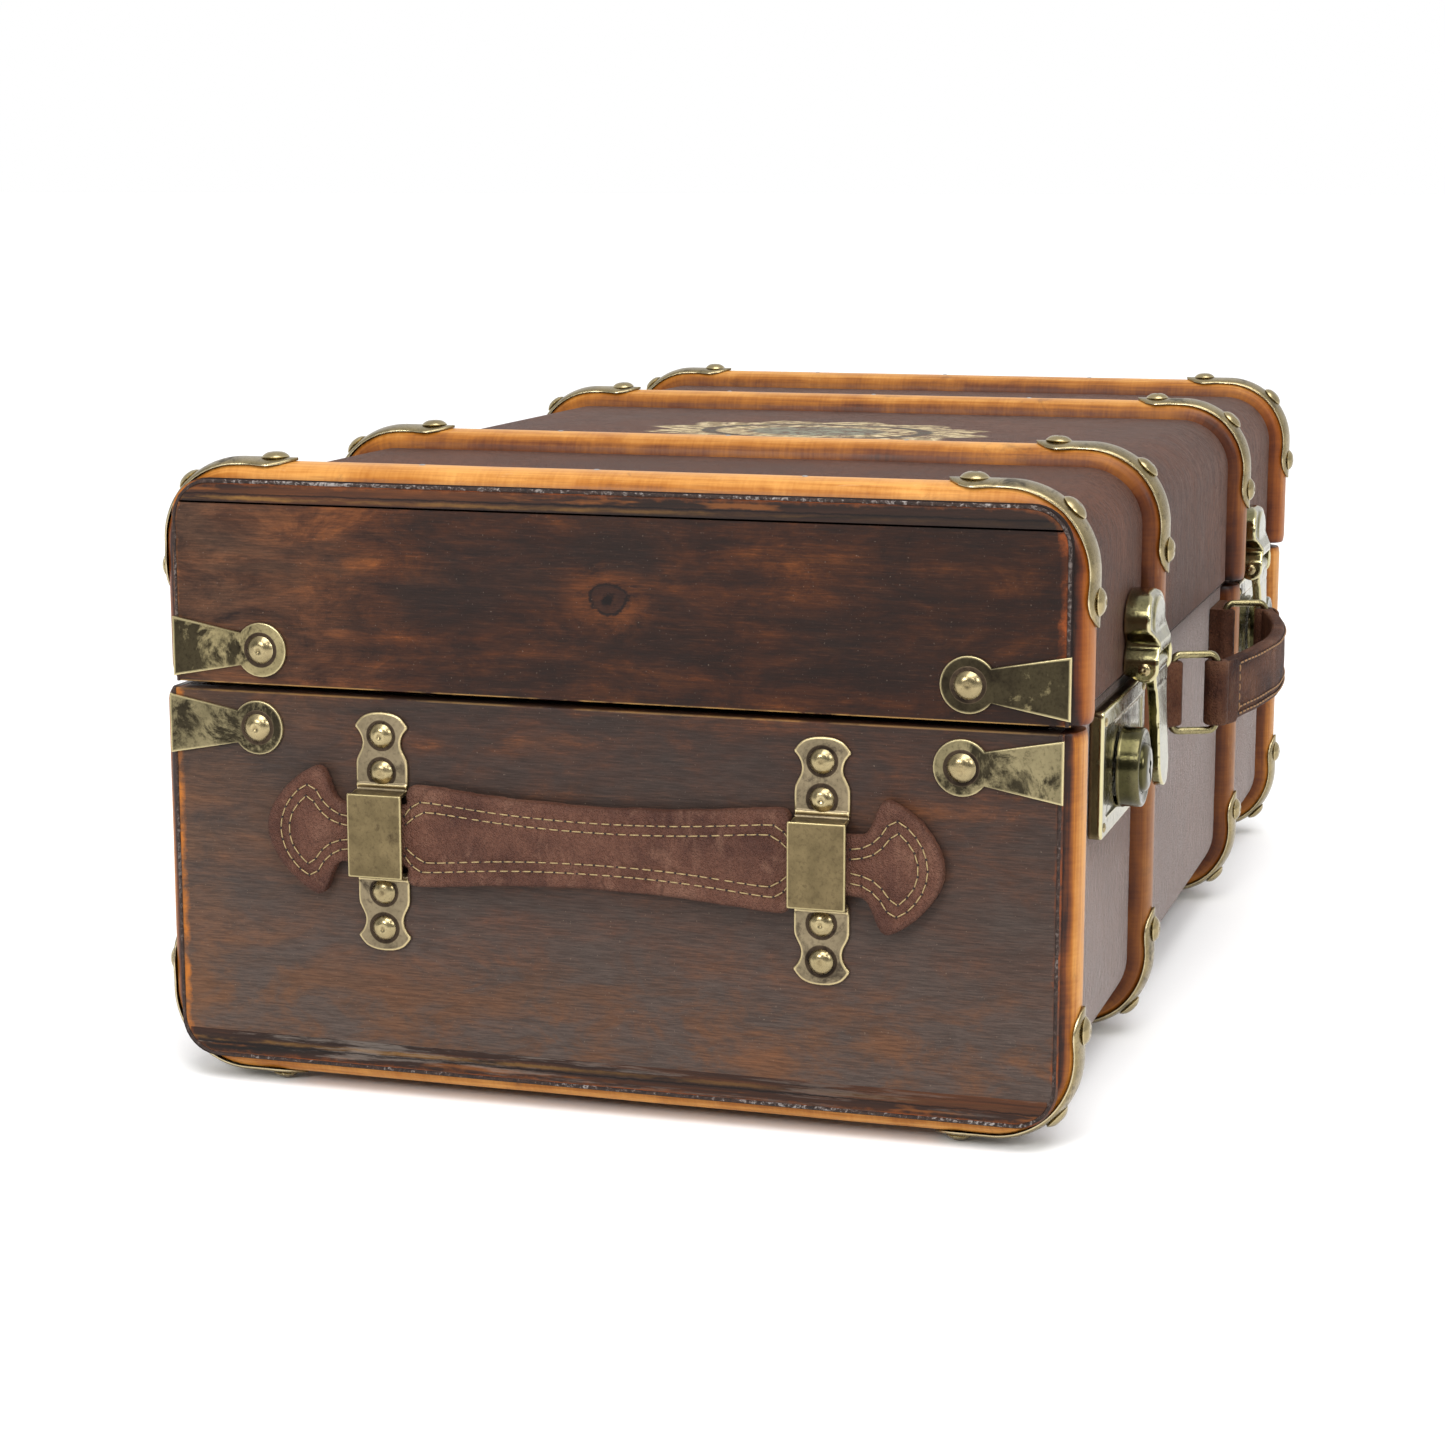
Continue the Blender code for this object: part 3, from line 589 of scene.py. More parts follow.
def panel_wood():
    """Dark mahogany stain on wood, lacquered, rubbed to orange at the rim."""
    g = Graph("panel_wood")
    end, across, height = g.axes(g.place())
    warp = g.noise(g.place((2, 3, 7)), 3, 3, 0.5)
    along = g.vector("ADD", g.place((5, 5, 75)), g.node("ShaderNodeCombineXYZ", {"Z": warp * 1.6}))
    bands = g.noise(along, 1.3, 9, 0.66, 0.35)
    mottle = g.noise(g.place((22, 22, 46), (4, 2, 1)), 1.6, 8, 0.72, 0.5)
    streaks = g.drawn((22, 22, 330), 6, 0.68, 0.2)
    fibres = g.drawn((120, 120, 1900), 5, 0.75)
    blotch = g.noise(g.place((6, 6, 12)), 2.2, 6, 0.66, 0.4)
    # one knot, as distance from its centre
    knot = g.vector("LENGTH", g.place((0, 1, 1.25),
                                      (0, 0.0035 - BASE.y, -(LID.flat - 0.0330) * 1.25)))
    knot += mottle.level(0.3, 0.7, -0.0030, 0.0030)
    halo = knot.level(0.0080, 0.0180, 0.5, 0) * mottle.level(0.42, 0.56)
    ring = knot.near(0.0056, 0.0003, 0.0011, 0.8) * streaks.level(0.38, 0.52, 0.4, 1)
    # painted light and shade: the front side darkened as painted shade, the lid darker, most just above
    # the seam, and the base greyer towards its foot as painted sheen
    upper = height.level(SEAM, SEAM + 0.002)
    shade = across.level(BASE.y + 0.10, BASE.y - 0.13, 0.02, 0.50) * upper
    shade += across.level(BASE.y - 0.02, BASE.y - 0.14, 0.12, 0.42) * upper.level(0, 1, 1, 0.25)
    painted_sheen = height.level(SEAM + 0.012, BASE.flat + 0.015, 0.12, 0.76)
    painted_sheen = painted_sheen * mottle.level(0.3, 0.7, 1.15, 0.6) * height.level(SEAM, SEAM + 0.002, 1, 0)
    pale = across.level(BASE.y + 0.06, BASE.y + 0.15, 0, 0.45) * mottle.level(0.35, 0.6)
    foot = height.level(BASE.flat + 0.050, BASE.flat + 0.022, 0, 0.45) * mottle.level(0.44, 0.58)
    # rubbed places: round the rim, and along the seam on the outer face
    inside = rim_distance(g)
    rub = (inside + g.noise(g.place(), 140, 5, 0.7) * -0.006).level(-0.0018, 0.0002, 1, 0)
    rub *= mottle.level(0.42, 0.58, 0.15, 1)
    glow = g.mix(across.level(BASE.y + 0.13, BASE.y + 0.155), (0.260, 0.060, 0.012),
                 (0.500, 0.170, 0.022))
    seam = abs(height - SEAM)
    gap = (LID.rim - BASE.rim) / 2
    face = abs(end).level(FACE_X - 0.0014, FACE_X - 0.0008)
    end_grain = seam.level(gap - 0.0004, gap + 0.0001, 1, 0) * face.level(0, 1, 1, 0)
    ochre = seam.level(gap + 0.0003, gap + 0.0006, 1, 0)
    ochre = ochre * g.drawn((40, 40, 40), 5, 0.7).level(0.36, 0.50) * upper.level(0, 1, 0.25, 0.85)
    specks = g.noise(g.place(), 1300, 2, 0.5).level(0.70, 0.76)
    colour = g.ramp(bands * 0.40 + mottle * 0.60,
                    (0.37, (0.010, 0.007, 0.006)), (0.47, (0.038, 0.014, 0.008)),
                    (0.55, (0.085, 0.026, 0.009)), (0.65, (0.220, 0.066, 0.014)))
    colour = g.layered(colour,
                       (blotch.level(0.44, 0.60, 0, 0.75), (0.021, 0.014, 0.012)),
                       (streaks.level(0.40, 0.55, 0.40, 0), (0.011, 0.007, 0.006)),
                       (streaks.level(0.60, 0.74, 0, 0.35), (0.185, 0.058, 0.014)),
                       # painted shade on the front side
                       (shade, (0.012, 0.005, 0.003)),
                       (upper * height.level(SEAM + 0.035, SEAM, 0.6, 1), (0.80, 0.76, 0.74),
                        "MULTIPLY"),
                       # painted sheen, greyer towards the base's foot
                       (painted_sheen, (0.091, 0.067, 0.056)),
                       (pale, (0.160, 0.082, 0.045)),
                       (foot, (0.150, 0.062, 0.024)),
                       (halo, (0.150, 0.045, 0.012)),
                       (knot.level(0.0054, 0.0066, 0.75, 0), (0.024, 0.010, 0.007)),
                       (knot.level(0.0012, 0.0024, 0.95, 0), (0.004, 0.003, 0.003)),
                       (ring, (0.005, 0.004, 0.004)),
                       (fibres.level(0.40, 0.58, 0.42, 0), (0.009, 0.006, 0.005)),
                       (fibres.level(0.58, 0.74, 0, 0.18), (0.160, 0.070, 0.034)),
                       (rub * 0.8, glow),
                       (inside.level(0.0002, 0.0009, 1, 0), (0.012, 0.007, 0.006)),
                       (end_grain, (0.075, 0.036, 0.018)),
                       (ochre * face, (0.420, 0.240, 0.075)),
                       (specks * 0.25, (0.30, 0.22, 0.16)))
    rough = g.noise(g.place((1, 1, 5)), 26, 5, 0.6).level(0.3, 0.7, 0.32, 0.50)
    rough += inside.level(0.0004, 0.0016, 0.35, 0)
    normal = g.bumps((fibres, 0.00010, 0.6), (streaks + bands * 0.5, 0.0003, 0.45))
    return g.finish(colour, rough, normal, Specular_IOR_Level=0.13)


def border_wood():
    """The strip along the panels' long edges: blacker, lined, with worn ochre and grey."""
    g = Graph("border_wood")
    _, across, height = g.axes(g.place())
    bands = g.noise(g.place((4, 4, 90)), 1.6, 7, 0.66, 0.4)
    fibres = g.drawn((60, 60, 1500), 4, 0.6)
    ragged = g.noise(g.place((1, 1, 1)), 150, 5, 0.7)
    depth = g.math("MINIMUM", LID.flat - height, height - BASE.flat)
    depth += ragged.level(0.3, 0.7, -0.0003, 0.0003)
    back = across.level(BASE.y - 0.12, BASE.y + 0.12, 0.10, 1.0)
    ochre = depth.near(0.0046, 0.0003, 0.0009)
    ochre = ochre * g.drawn((24, 24, 160), 5, 0.66).level(0.40, 0.58) * (back * 0.75)
    dashes = depth.near(0.0020, 0.0006, 0.0011)
    dashes *= g.drawn((30, 30, 220), 4, 0.6, 0, (1, 2, 3)).level(0.54, 0.62)
    scuffs = g.drawn((26, 26, 420), 6, 0.72, 0, (2, 5, 1)).level(0.53, 0.62)
    scuffs *= height.level(SEAM - 0.02, SEAM, 1, 0)
    grooves = [(depth.near(line, 0.00012, 0.00035) * black, (0.006, 0.005, 0.005))
               for line, black in ((0.0033, 0.75), (0.0061, 0.35))]
    rub = (rim_distance(g) + ragged * -0.006).level(-0.0022, -0.0004, 1, 0)
    colour = g.ramp(bands, (0.34, (0.010, 0.008, 0.007)), (0.52, (0.028, 0.014, 0.010)),
                    (0.72, (0.100, 0.034, 0.012)))
    colour = g.layered(colour,
                       (ochre, (0.210, 0.105, 0.028)),
                       (dashes * 0.50, (0.220, 0.075, 0.018)),
                       (scuffs * back.level(0, 1, 0.15, 0.50), (0.200, 0.165, 0.140)),
                       *grooves,
                       (rub * 0.5, (0.230, 0.065, 0.014)))
    rough = g.noise(g.place((1, 1, 5)), 30, 5, 0.6).level(0.3, 0.7, 0.30, 0.50)
    normal = g.bumps((fibres, 0.00010, 0.6), (bands, 0.0004, 0.4))
    return g.finish(colour, rough, normal, Specular_IOR_Level=0.13)


def bead_paint():
    """The panel's rim, where black lacquer has crazed and chipped to grey and white."""
    g = Graph("worn_bead")
    flakes = g.noise(g.place(), 520, 6, 0.75, 0.8)
    spread = g.noise(g.place(), 22, 3, 0.5)
    _, y, _ = g.axes(g.place())
    chips = (flakes + spread * 0.55).level(0.80, 0.90)
    chips *= abs(y - BASE.y).level(CASE_HALF - 0.006, CASE_HALF - 0.001, 1, 0.30)
    colour = g.mix(flakes.level(0.35, 0.6), (0.008, 0.006, 0.006), (0.050, 0.026, 0.018))
    colour = g.mix(chips * 0.8, colour, (0.36, 0.33, 0.31))
    return g.finish(colour, 0.55, g.bumps((flakes, 0.0008, 1.0)), Specular_IOR_Level=0.25)


def slat_wood():
    """Orange-brown bent wood, darker where it is handled, with painted shade along both sides and on
    the upright faces, and its lightest orange along the middle of the top as a painted highlight.
    """
    g = Graph("slat_wood")
    x, y, height = g.axes(g.place())
    # the lay's third value: painted shade towards the sides and ends, and a painted highlight along the
    # middle of the top
    crest_shading = g.axes(g.lay())[2]
    grain = g.noise(g.lay((14, 900, 0)), 1, 5, 0.6, 0.3)
    fine = g.noise(g.lay((60, 3000, 0)), 1, 3, 0.6)
    chatter = g.noise(g.lay((900, 20, 0)), 1, 2, 0.5)
    clouds = g.noise(g.place(), 28, 5, 0.65, 0.4)
    tone = crest_shading + clouds.level(0.3, 0.7, -0.20, 0.20) + grain.level(0.3, 0.7, -0.14, 0.14)
    tone += chatter.level(0.35, 0.65, -0.03, 0.03)
    # painted shade: the upright faces darker, most on the lid and on the inner slats
    upright = abs(y - BASE.y).level(CASE_HALF - 0.012, CASE_HALF + 0.001)
    outer, inner = SLAT_X[3] - 0.03, SLAT_X[2] + 0.03
    upright_shade = g.math("MAXIMUM", height.level(SEAM - 0.001, SEAM + 0.001, 0.15, 1.0),
                  abs(x).level(outer, inner, 0, 0.85))
    stains = g.noise(g.place(), 55, 6, 0.7, 0.5).level(0.60, 0.72)
    scuffs = g.noise(g.lay((70, 420, 0)), 1, 6, 0.75, 0.8).level(0.60, 0.70)
    # the ramp's light end, reached along the middle of the top, is partly a painted highlight
    colour = g.ramp(tone, (0.05, (0.022, 0.007, 0.004)), (0.30, (0.130, 0.035, 0.007)),
                    (0.58, (0.325, 0.112, 0.012)), (0.92, (0.560, 0.262, 0.060)))
    colour = g.layered(colour,
                       # painted shade on the upright faces, greyer on the inner slats
                       (upright * upright_shade, (0.60, 0.43, 0.27), "MULTIPLY"),
                       (upright * abs(x).level(outer, inner, 0, 0.8), (0.60, 0.62, 0.66),
                        "MULTIPLY"),
                       (stains * 0.5, (0.045, 0.014, 0.006)),
                       (fine.level(0.56, 0.70, 0, 0.30), (0.085, 0.026, 0.008)),
                       (scuffs * crest_shading.level(0.55, 0.9) * 0.40, (0.62, 0.42, 0.24)))
    normal = g.bumps((grain + chatter * 0.4, 0.00018, 0.5), (clouds, 0.0008, 0.25))
    return g.finish(colour, clouds.level(0.3, 0.7, 0.36, 0.52), normal, Coat_Weight=0.10,
                    Coat_Roughness=0.30, Specular_IOR_Level=0.18)


def ornament(g, height):
    """A generic faded rosette printed in the middle of the lid: its mask and its colour."""
    x, y, _ = g.axes(g.place((1, 1, 0), (0, -LID.y, 0)))
    wide, tall = 0.0500, 0.070
    across, along = x * (1 / wide), y * (1 / tall)
    body = g.math("SQRT", across * across + along * along)
    turn = g.math("ARCTAN2", along, across)
    fringe = g.noise(g.place((1, 1, 0)), 130, 3, 0.5)
    lobes = (turn * 12.0).sine() * 0.07
    solid = (body + (lobes + fringe * 0.12)).level(0.95, 1.00, 1, 0)
    leaf = (turn * 24.0 + body * 26.0).sine().level(-0.2, 0.2)
    on_top = height.level(LID.flat - 0.0012, LID.flat - 0.0006)
    faded = g.noise(g.place(), 210, 7, 0.75).level(0.38, 0.58)
    # the print's light tone is partly a painted highlight
    gilt = g.layered(g.mix(leaf, (0.690, 0.560, 0.330), (0.370, 0.290, 0.150)),
                     (body.near(0.62, 0.035, 0.055), (0.085, 0.080, 0.060)),
                     (body.level(0.36, 0.42, 1, 0), (0.240, 0.250, 0.180)))
    return solid * on_top * faded * 0.95, gilt


def cover_leatherette(name, bloom, dust_and_sheen_level):
    """Fine-grained leatherette with a sheen, a grey film that is partly real and partly painted sheen
    and grows along streaks towards the far end, and a faded gilt ornament on the lid's top.
    """
    g = Graph(name)
    where = g.place()
    x, _, height = g.axes(where)
    clouds = g.noise(where, 16, 6, 0.65, 0.3)
    streaks = g.drawn((260, 60, 40), 6, 0.7, 0.5)
    grain = g.drawn((420, 420, 240), 6, 0.72, 0.5)
    pebble = g.noise(where, 950, 4, 0.65)
    cells = g.cells(where, 780)
    pin = g.noise(where, 1900, 1, 0.5).level(0.70, 0.76)
    # painted sheen: a grey film along streaks, growing towards the far end
    far = x.level(SLAT_X[0] + 0.03, SLAT_X[2], 0.0, 0.95)
    colour = g.ramp(clouds, (0.28, (0.044, 0.015, 0.008)), (0.52, (0.082, 0.031, 0.017)),
                    (0.76, (0.125, 0.052, 0.031)))
    # the grey film: an even share that is partly real and partly painted sheen, plus the far-end
    # painted sheen
    dust_and_sheen = g.math("ADD", dust_and_sheen_level, far * streaks.level(0.40, 0.66, 0.10, 0.40))
    colour = g.layered(colour,
                       (dust_and_sheen, (0.205, 0.148, 0.130)),
                       (grain.level(0.46, 0.62, 0, 0.60), (0.026, 0.011, 0.007)),
                       (pin * 0.40, (0.24, 0.18, 0.16)),
                       ornament(g, height))
    rough = (clouds + pebble * 0.5).level(0.45, 1.0, 0.50, 0.72)
    normal = g.bumps((pebble + cells.level(0, 0.5, 0, 0.7), 0.00040, 0.9),
                     (streaks + grain * 1.5, 0.00060, 0.8),
                     (clouds, 0.0012, 0.25))
    return g.finish(colour, rough, normal, Specular_IOR_Level=0.13, Sheen_Weight=bloom,
                    Sheen_Roughness=0.32, Sheen_Tint=(1.0, 0.93, 0.90))


def lining_cloth():
    """Woven cotton lining, warm grey-beige."""
    g = Graph("lining_cloth")
    thread = {"Vector": g.place(), "Scale": 420.0, "Distortion": 0.6, "Detail": 2.0}
    weft, warp, rise = (g.node("ShaderNodeTexWave", thread, "Fac", bands_direction=axis)
                        for axis in "XYZ")
    weave = weft + warp + rise
    clouds = g.noise(g.place(), 12, 5, 0.6)
    colour = g.layered(g.ramp(clouds, (0.30, (0.25, 0.17, 0.105)), (0.75, (0.36, 0.27, 0.175))),
                       (weave.level(1.0, 2.2, 0, 0.35), (0.46, 0.37, 0.26)))
    return g.finish(colour, 0.85, g.bumps((weave, 0.00012, 0.7)), Sheen_Weight=0.25)


def plain(name, colour, roughness, metallic=0.0, grain=300):
    """A small piece's finish, with a little unevenness."""
    g = Graph(name)
    mottle = g.noise(g.place(), grain, 4, 0.6)
    tone = g.mix(mottle.level(0.3, 0.7), [c * 0.7 for c in colour],
                 [min(1, c * 1.2) for c in colour])
    rough = mottle.level(0.3, 0.7, max(0.05, roughness - 0.08), min(1.0, roughness + 0.08))
    return g.finish(tone, rough, g.bumps((mottle, 0.0001, 0.5)), Metallic=metallic)


BRASS = brass("antique_brass", (0.315, 0.250, 0.130), (0.60, 0.51, 0.32), (0.055, 0.043, 0.027),
              0.30, 0.28, grit=0.6)
CLIP_TONE = ((0.33, 0.272, 0.140), (0.60, 0.51, 0.28), (0.017, 0.013, 0.009))
BASE_CLIP_TONE = ((0.245, 0.205, 0.112), (0.60, 0.51, 0.28), (0.020, 0.016, 0.011))
CLIP_BRASS = {("lid", "front"): brass("clip_brass_black", *CLIP_TONE, 1.62, 0.40),
              ("lid", "back"): brass("clip_brass_mid", *CLIP_TONE, 0.70, 0.34),
              ("base", "front"): brass("clip_brass_light", *BASE_CLIP_TONE, 0.62, 0.42),
              ("base", "back"): brass("clip_brass_dark", *BASE_CLIP_TONE, 1.08, 0.40)}
LOOP_BRASS = brass("loop_brass", (0.172, 0.130, 0.066), (0.40, 0.33, 0.17), (0.070, 0.050, 0.028),
                   0.30, 0.34)
FOOT_BRASS = brass("foot_brass", (0.245, 0.196, 0.122), (0.54, 0.44, 0.24), (0.062, 0.048, 0.034),
                   0.50, 0.38)
HINGE_BRASS = brass("hinge_brass", (0.235, 0.190, 0.100), (0.50, 0.42, 0.25),
                    (0.110, 0.086, 0.050), 0.10, 0.34)
RIVET_BRASS = brass("rivet_brass", (0.300, 0.235, 0.122), (0.46, 0.38, 0.21),
                    (0.090, 0.066, 0.038), 0.30, 0.24, 0.00003, 0.3)
# a dark ring round the nail heads
DARK_RING_BRASS = brass("rivet_dark_ring", (0.060, 0.042, 0.028), (0.140, 0.105, 0.065), (0.022, 0.016, 0.012),
              0.6, 0.50)
LATCH_BRASS = brass("latch_brass", (0.235, 0.212, 0.105), (0.50, 0.45, 0.26),
                    (0.060, 0.052, 0.028), 0.42, 0.13, 0.0003, 0.35)
BUTTON_BRASS = brass("button_brass", (0.062, 0.056, 0.024), (0.26, 0.23, 0.120),
                     (0.022, 0.018, 0.010), 0.40, 0.18, 0.0002, 0.35)
WIRE_BRASS = brass("wire_brass", (0.30, 0.255, 0.130), (0.50, 0.44, 0.27), (0.090, 0.075, 0.040),
                   0.2, 0.26, 0.0002)
PANEL_WOOD = panel_wood()
BORDER_WOOD = border_wood()
BEAD_PAINT = bead_paint()
SLAT_WOOD = slat_wood()
# each cover's sheen weight, then the even share of its grey film, which on the base is partly painted
# sheen
COVER = {"lid": cover_leatherette("cover_lid", 0.03, 0.0),
         "base": cover_leatherette("cover_base", 0.52, 0.24)}
LINING = lining_cloth()
HANDLE_LEATHER = leather("handle_leather", (0.103, 0.041, 0.024), (0.185, 0.092, 0.058),
                         (0.045, 0.015, 0.009), (0.046, 0.018, 0.011), 1150, 0.56)
GRIP_LEATHER = leather("grip_leather", (0.090, 0.036, 0.019), (0.170, 0.078, 0.042),
                       (0.022, 0.008, 0.006), (0.200, 0.120, 0.070), 1100, 0.58, 0.08)
THREAD_OCHRE = plain("ochre_thread", (0.300, 0.215, 0.095), 0.7, 0.0, 1500)
THREAD_BROWN = plain("brown_thread", (0.235, 0.120, 0.045), 0.7, 0.0, 1500)
# painted shade: the dark inside of a needle hole
HOLE_SHADE = plain("stitch_hole", (0.018, 0.008, 0.006), 0.9)
STEEL = plain("nail_steel", (0.42, 0.41, 0.40), 0.35, 1.0)
BLACK = plain("slot_shadow", (0.012, 0.010, 0.008), 0.6)


# ---- the case ----
def shell_loop(half, inset, x):
    """The wrap's closed section at x, drawn in by `inset` to round its ends."""
    outer = u_path(half, -inset, spacing=0.02)
    inner = u_path(half, -WALL + inset, spacing=0.02)[::-1]
    return [(x, y, z) for y, z in lifted(outer + inner, half, inset)]


def add_wrap(half):
    reach = FACE_X - PANEL - GAP
    bevel, count = 0.0006, 24
    stops = [(-reach, bevel), (-reach + bevel, 0)]
    stops += [(-reach + 2 * reach * i / count, 0) for i in range(1, count)]
    stops += [(reach - bevel, 0), (reach, bevel)]
    mesh = loft([shell_loop(half, inset, x) for x, inset in stops])
    add(f"{half.name}_cover", smoothed(mesh, 50), COVER[half.name], half.body,
        [f"{half.name}_wrap"])


def slat_section(x, y, z, normal, scale, limit):
    """Half-round section of a slat at a point of its inner line."""
    rows = 16
    half = SLAT_WIDTH / 2 * scale
    tall = min(SLAT_HEIGHT * scale, limit)
    places = []
    for i in range(rows + 1):
        turn = pi * i / rows
        places.append((half * cos(turn), min(tall, SLAT_HEIGHT * (sin(turn) ** 0.78) * scale)))
    places += [(-half * 0.96, GAP), (half * 0.96, GAP)]
    return [(x + side, y + normal[0] * rise, z + normal[1] * rise) for side, rise in places]


def add_slat(half, number, x):
    """One half of a bent slat, rounded at the seam and mitred at the back.

    Stores its lay: along the grain, across it, and a tone for the stain that is highest along the
    slat's middle, with painted shade: darker towards the sides (less on the lit outer side of the outer
    slats' tops) and at the ends by the seam, and darker along the outer slats' outer edge.
    """
    path = [Vector((0, y, z)) for y, z in u_path(half, 0.0, spacing=0.008)]
    total = lengths(path)
    ends = (0.0, 0.0003, 0.0008, 0.0016, 0.0030, 0.0050)
    stops = sorted(set(ends) | {total[-1] - e for e in ends}
                   | {s for s in total if 0.006 < s < total[-1] - 0.006})
    outer = x / abs(x) if abs(x) > 0.2 else 0
    loops, marks = [], []
    for s in stops:
        p = point_at(path, total, s)
        tangent = point_at(path, total, s + 0.0006) - point_at(path, total, s - 0.0006)
        tangent.normalize()
        normal = (-tangent.z * half.side, tangent.y * half.side)
        to_back = total[-1] - s
        end = min(s, to_back)
        scale = 0.90 + 0.10 * min(1.0, sqrt(end / 0.0030))
        scale *= 1 + 0.012 * noise.noise((s * 30, x * 9, half.side))
        limit = NOTCH_START + to_back / tan(NOTCH_ANGLE)
        loops.append(slat_section(x, p.y, p.z, normal, scale, max(limit, 0.0012)))
        # painted shade at the ends, where the slat runs into the seam
        end_shade = 0.40 * max(0.0, 1 - end / 0.0025)
        upright = abs(normal[0])
        for point in loops[-1]:
            side = (point[0] - x) / (SLAT_WIDTH / 2)
            # darker along the outer edge of the two outer slats, most on the upright parts
            outer_edge_dark = min(1.0, max(0.0, (side * outer - 0.80) / 0.14))
            # painted light and shade: darker towards the sides, less so on the lit outer half of an
            # outer slat's top
            lit = 1 - 0.65 * (1 - upright) * (side * outer > 0)
            crest_shading = 0.86 - 0.50 * lit * abs(side) ** 2.6 - end_shade
            crest_shading -= (0.06 + 0.30 * upright) * outer_edge_dark
            marks += [s + number * 0.7 + half.side, point[0] - x, crest_shading]
    mesh = loft(loops)
    mesh.attributes.new("lay", "FLOAT_VECTOR", "POINT").data.foreach_set("vector", marks)
    add(f"{half.name}_slat_{number}", smoothed(mesh, 50), SLAT_WOOD, half.body,
        [f"{half.name}_hoop_{number}"])


def upward(line, half):
    """The outline in the order that gives both halves the same way round."""
    return line if half.side > 0 else line[::-1]


def add_end_panel(half, direction, end):
    """Board, facing, border strip and worn bead of one half's end."""
    out = end_frame(direction, direction * FACE_X)
    board = plate(upward(u_path(half, 0, CORNER, 10), half), PANEL - FACING, 0.0003)
    skin = plate(upward(u_path(half, FACING_LAP, FACING_CORNER - FACING_LAP, 10), half), FACING,
                 0.0005, 0.0012)
    both = together([moved(board, out @ at(z=-PANEL)), moved(skin, out @ at(z=-FACING))])
    add(f"{half.name}_panel_{end}", worn(both, 30, 1.5), PANEL_WOOD, half.body,
        [f"{half.name}_end_{end}"])
    edge = u_path(half, FACING_LAP - 0.0018, FACING_CORNER - FACING_LAP, 10, 0.006)
    flat = half.flat - half.side * BORDER[half.name]
    strip = [(y, z) for y, z in edge if (z - flat) * half.side > 0]
    strip = upward([(strip[0][0], flat), *strip, (strip[-1][0], flat)], half)
    mesh = moved(plate(strip, 0.0004, 0.0002, 0.0004), out @ at(z=-0.00022))
    add(f"{half.name}_border_{end}", worn(mesh, 30), BORDER_WOOD, half.body)
    add_bead(half, direction, end)


def add_bead(half, direction, end):
    """The crazed, chipped edge that runs round the panel: a thin uneven bead."""
    line = u_path(half, FACING_LAP - 0.0009, FACING_CORNER - FACING_LAP + 0.0009, 10, 0.0022)
    loops = []
    for i, (y, z) in enumerate(line):
        way = (Vector(line[min(i + 1, len(line) - 1)]) - Vector(line[max(i - 1, 0)])).normalized()
        radius = BEAD * (1 + 0.28 * noise.noise((y * 420, z * 420, direction * 3.0)))
        loop = []
        for turn in (2 * pi * k / 8 for k in range(8)):
            side = cos(turn) * radius
            rise = sin(turn) * radius * 0.8
            loop.append((direction * (FACE_X + rise), y - way.y * side, z + way.x * side))
        loops.append(loop)
    add(f"{half.name}_bead_{end}", smoothed(loft(loops), 70), BEAD_PAINT, half.body)


def add_lining(half):
    """Cloth glued inside the wrap and on both panels, ending a little below the rim."""
    reach = FACE_X - PANEL - 0.0002
    below = 0.0015             # the cloth ends this far inside the rim
    inner = lifted(u_path(half, -WALL - 0.0001, spacing=0.02), half, below)
    cloth = lifted(u_path(half, -WALL - 0.0011, spacing=0.02), half, below)
    pieces = [loft([[(x, y, z) for y, z in inner + cloth[::-1]]
                    for x in (-reach, -reach / 2, 0, reach / 2, reach)])]
    outline = upward(lifted(u_path(half, -WALL - 0.0012), half, below), half)
    for direction, _ in SIDES:
        inward = end_frame(-direction, direction * reach)
        pieces.append(moved(plate(outline, 0.0010, 0.0003), inward))
    add(f"{half.name}_lining", smoothed(together(pieces), 35), LINING, half.body)


# ---- rivets and nails ----
def rivet_mesh(radius, tall, dimple):
    """A domed nail head with a thin rim, and a small dent in its crown."""
    crown = tall - dimple
    dome = ((0.24, 0.985), (0.45, 0.93), (0.66, 0.76), (0.84, 0.48), (0.95, 0.22), (1, 0.07))
    return turned([(0, crown), (radius * 0.10, crown), *((radius * r, tall * z) for r, z in dome),
                   (radius * 0.985, 0.0), (radius * 0.90, -0.0004), (0, -0.0004)], 36)


def rivets(spots, seed):
    """Nail heads at 4x4 matrices, each knocked in a little differently."""
    made = []
    for i, spot in enumerate(spots):
        jitter = noise.noise((seed * 3.1 + i, 0.5, 1.7))
        tilt = noise.noise((i + seed * 1.7, 4.2, 0.3))
        head = rivet_mesh(RIVET * (1 + 0.03 * jitter), 0.0020 - 0.0002 * abs(jitter),
                          0.00045 if (i + seed) % 2 else 0.00012)
        made.append(moved(head, spot @ (rolled(0.09 * jitter, "X") @ rolled(0.09 * tilt, "Y"))))
    return worn(together(made), 60, 2.2)


def dark_rings(spots):
    """A thin dark ring round each nail head."""
    rings = []
    for i, spot in enumerate(spots):
        size = RIVET * (1.30 + 0.06 * noise.noise((i * 2.7, spot[1][3] * 40, 3.3)))
        profile = [(0, 0.00022), (size * 0.86, 0.00020), (size * 0.96, 0.00015), (size, 0.00005),
                   (0, 0)]
        rings.append(moved(turned(profile, 30), spot))
    return worn(together(rings), 50)


# ---- corner straps ----
STRAP_RADIUS = CORNER + SLAT_HEIGHT + GAP
STRAP_TOP = extent("strap_1_lid_front").y - STRAP_RADIUS - STRAP - 0.0023
STRAP_SIDE = extent("strap_1_lid_front").z - STRAP_RADIUS - STRAP - 0.0023
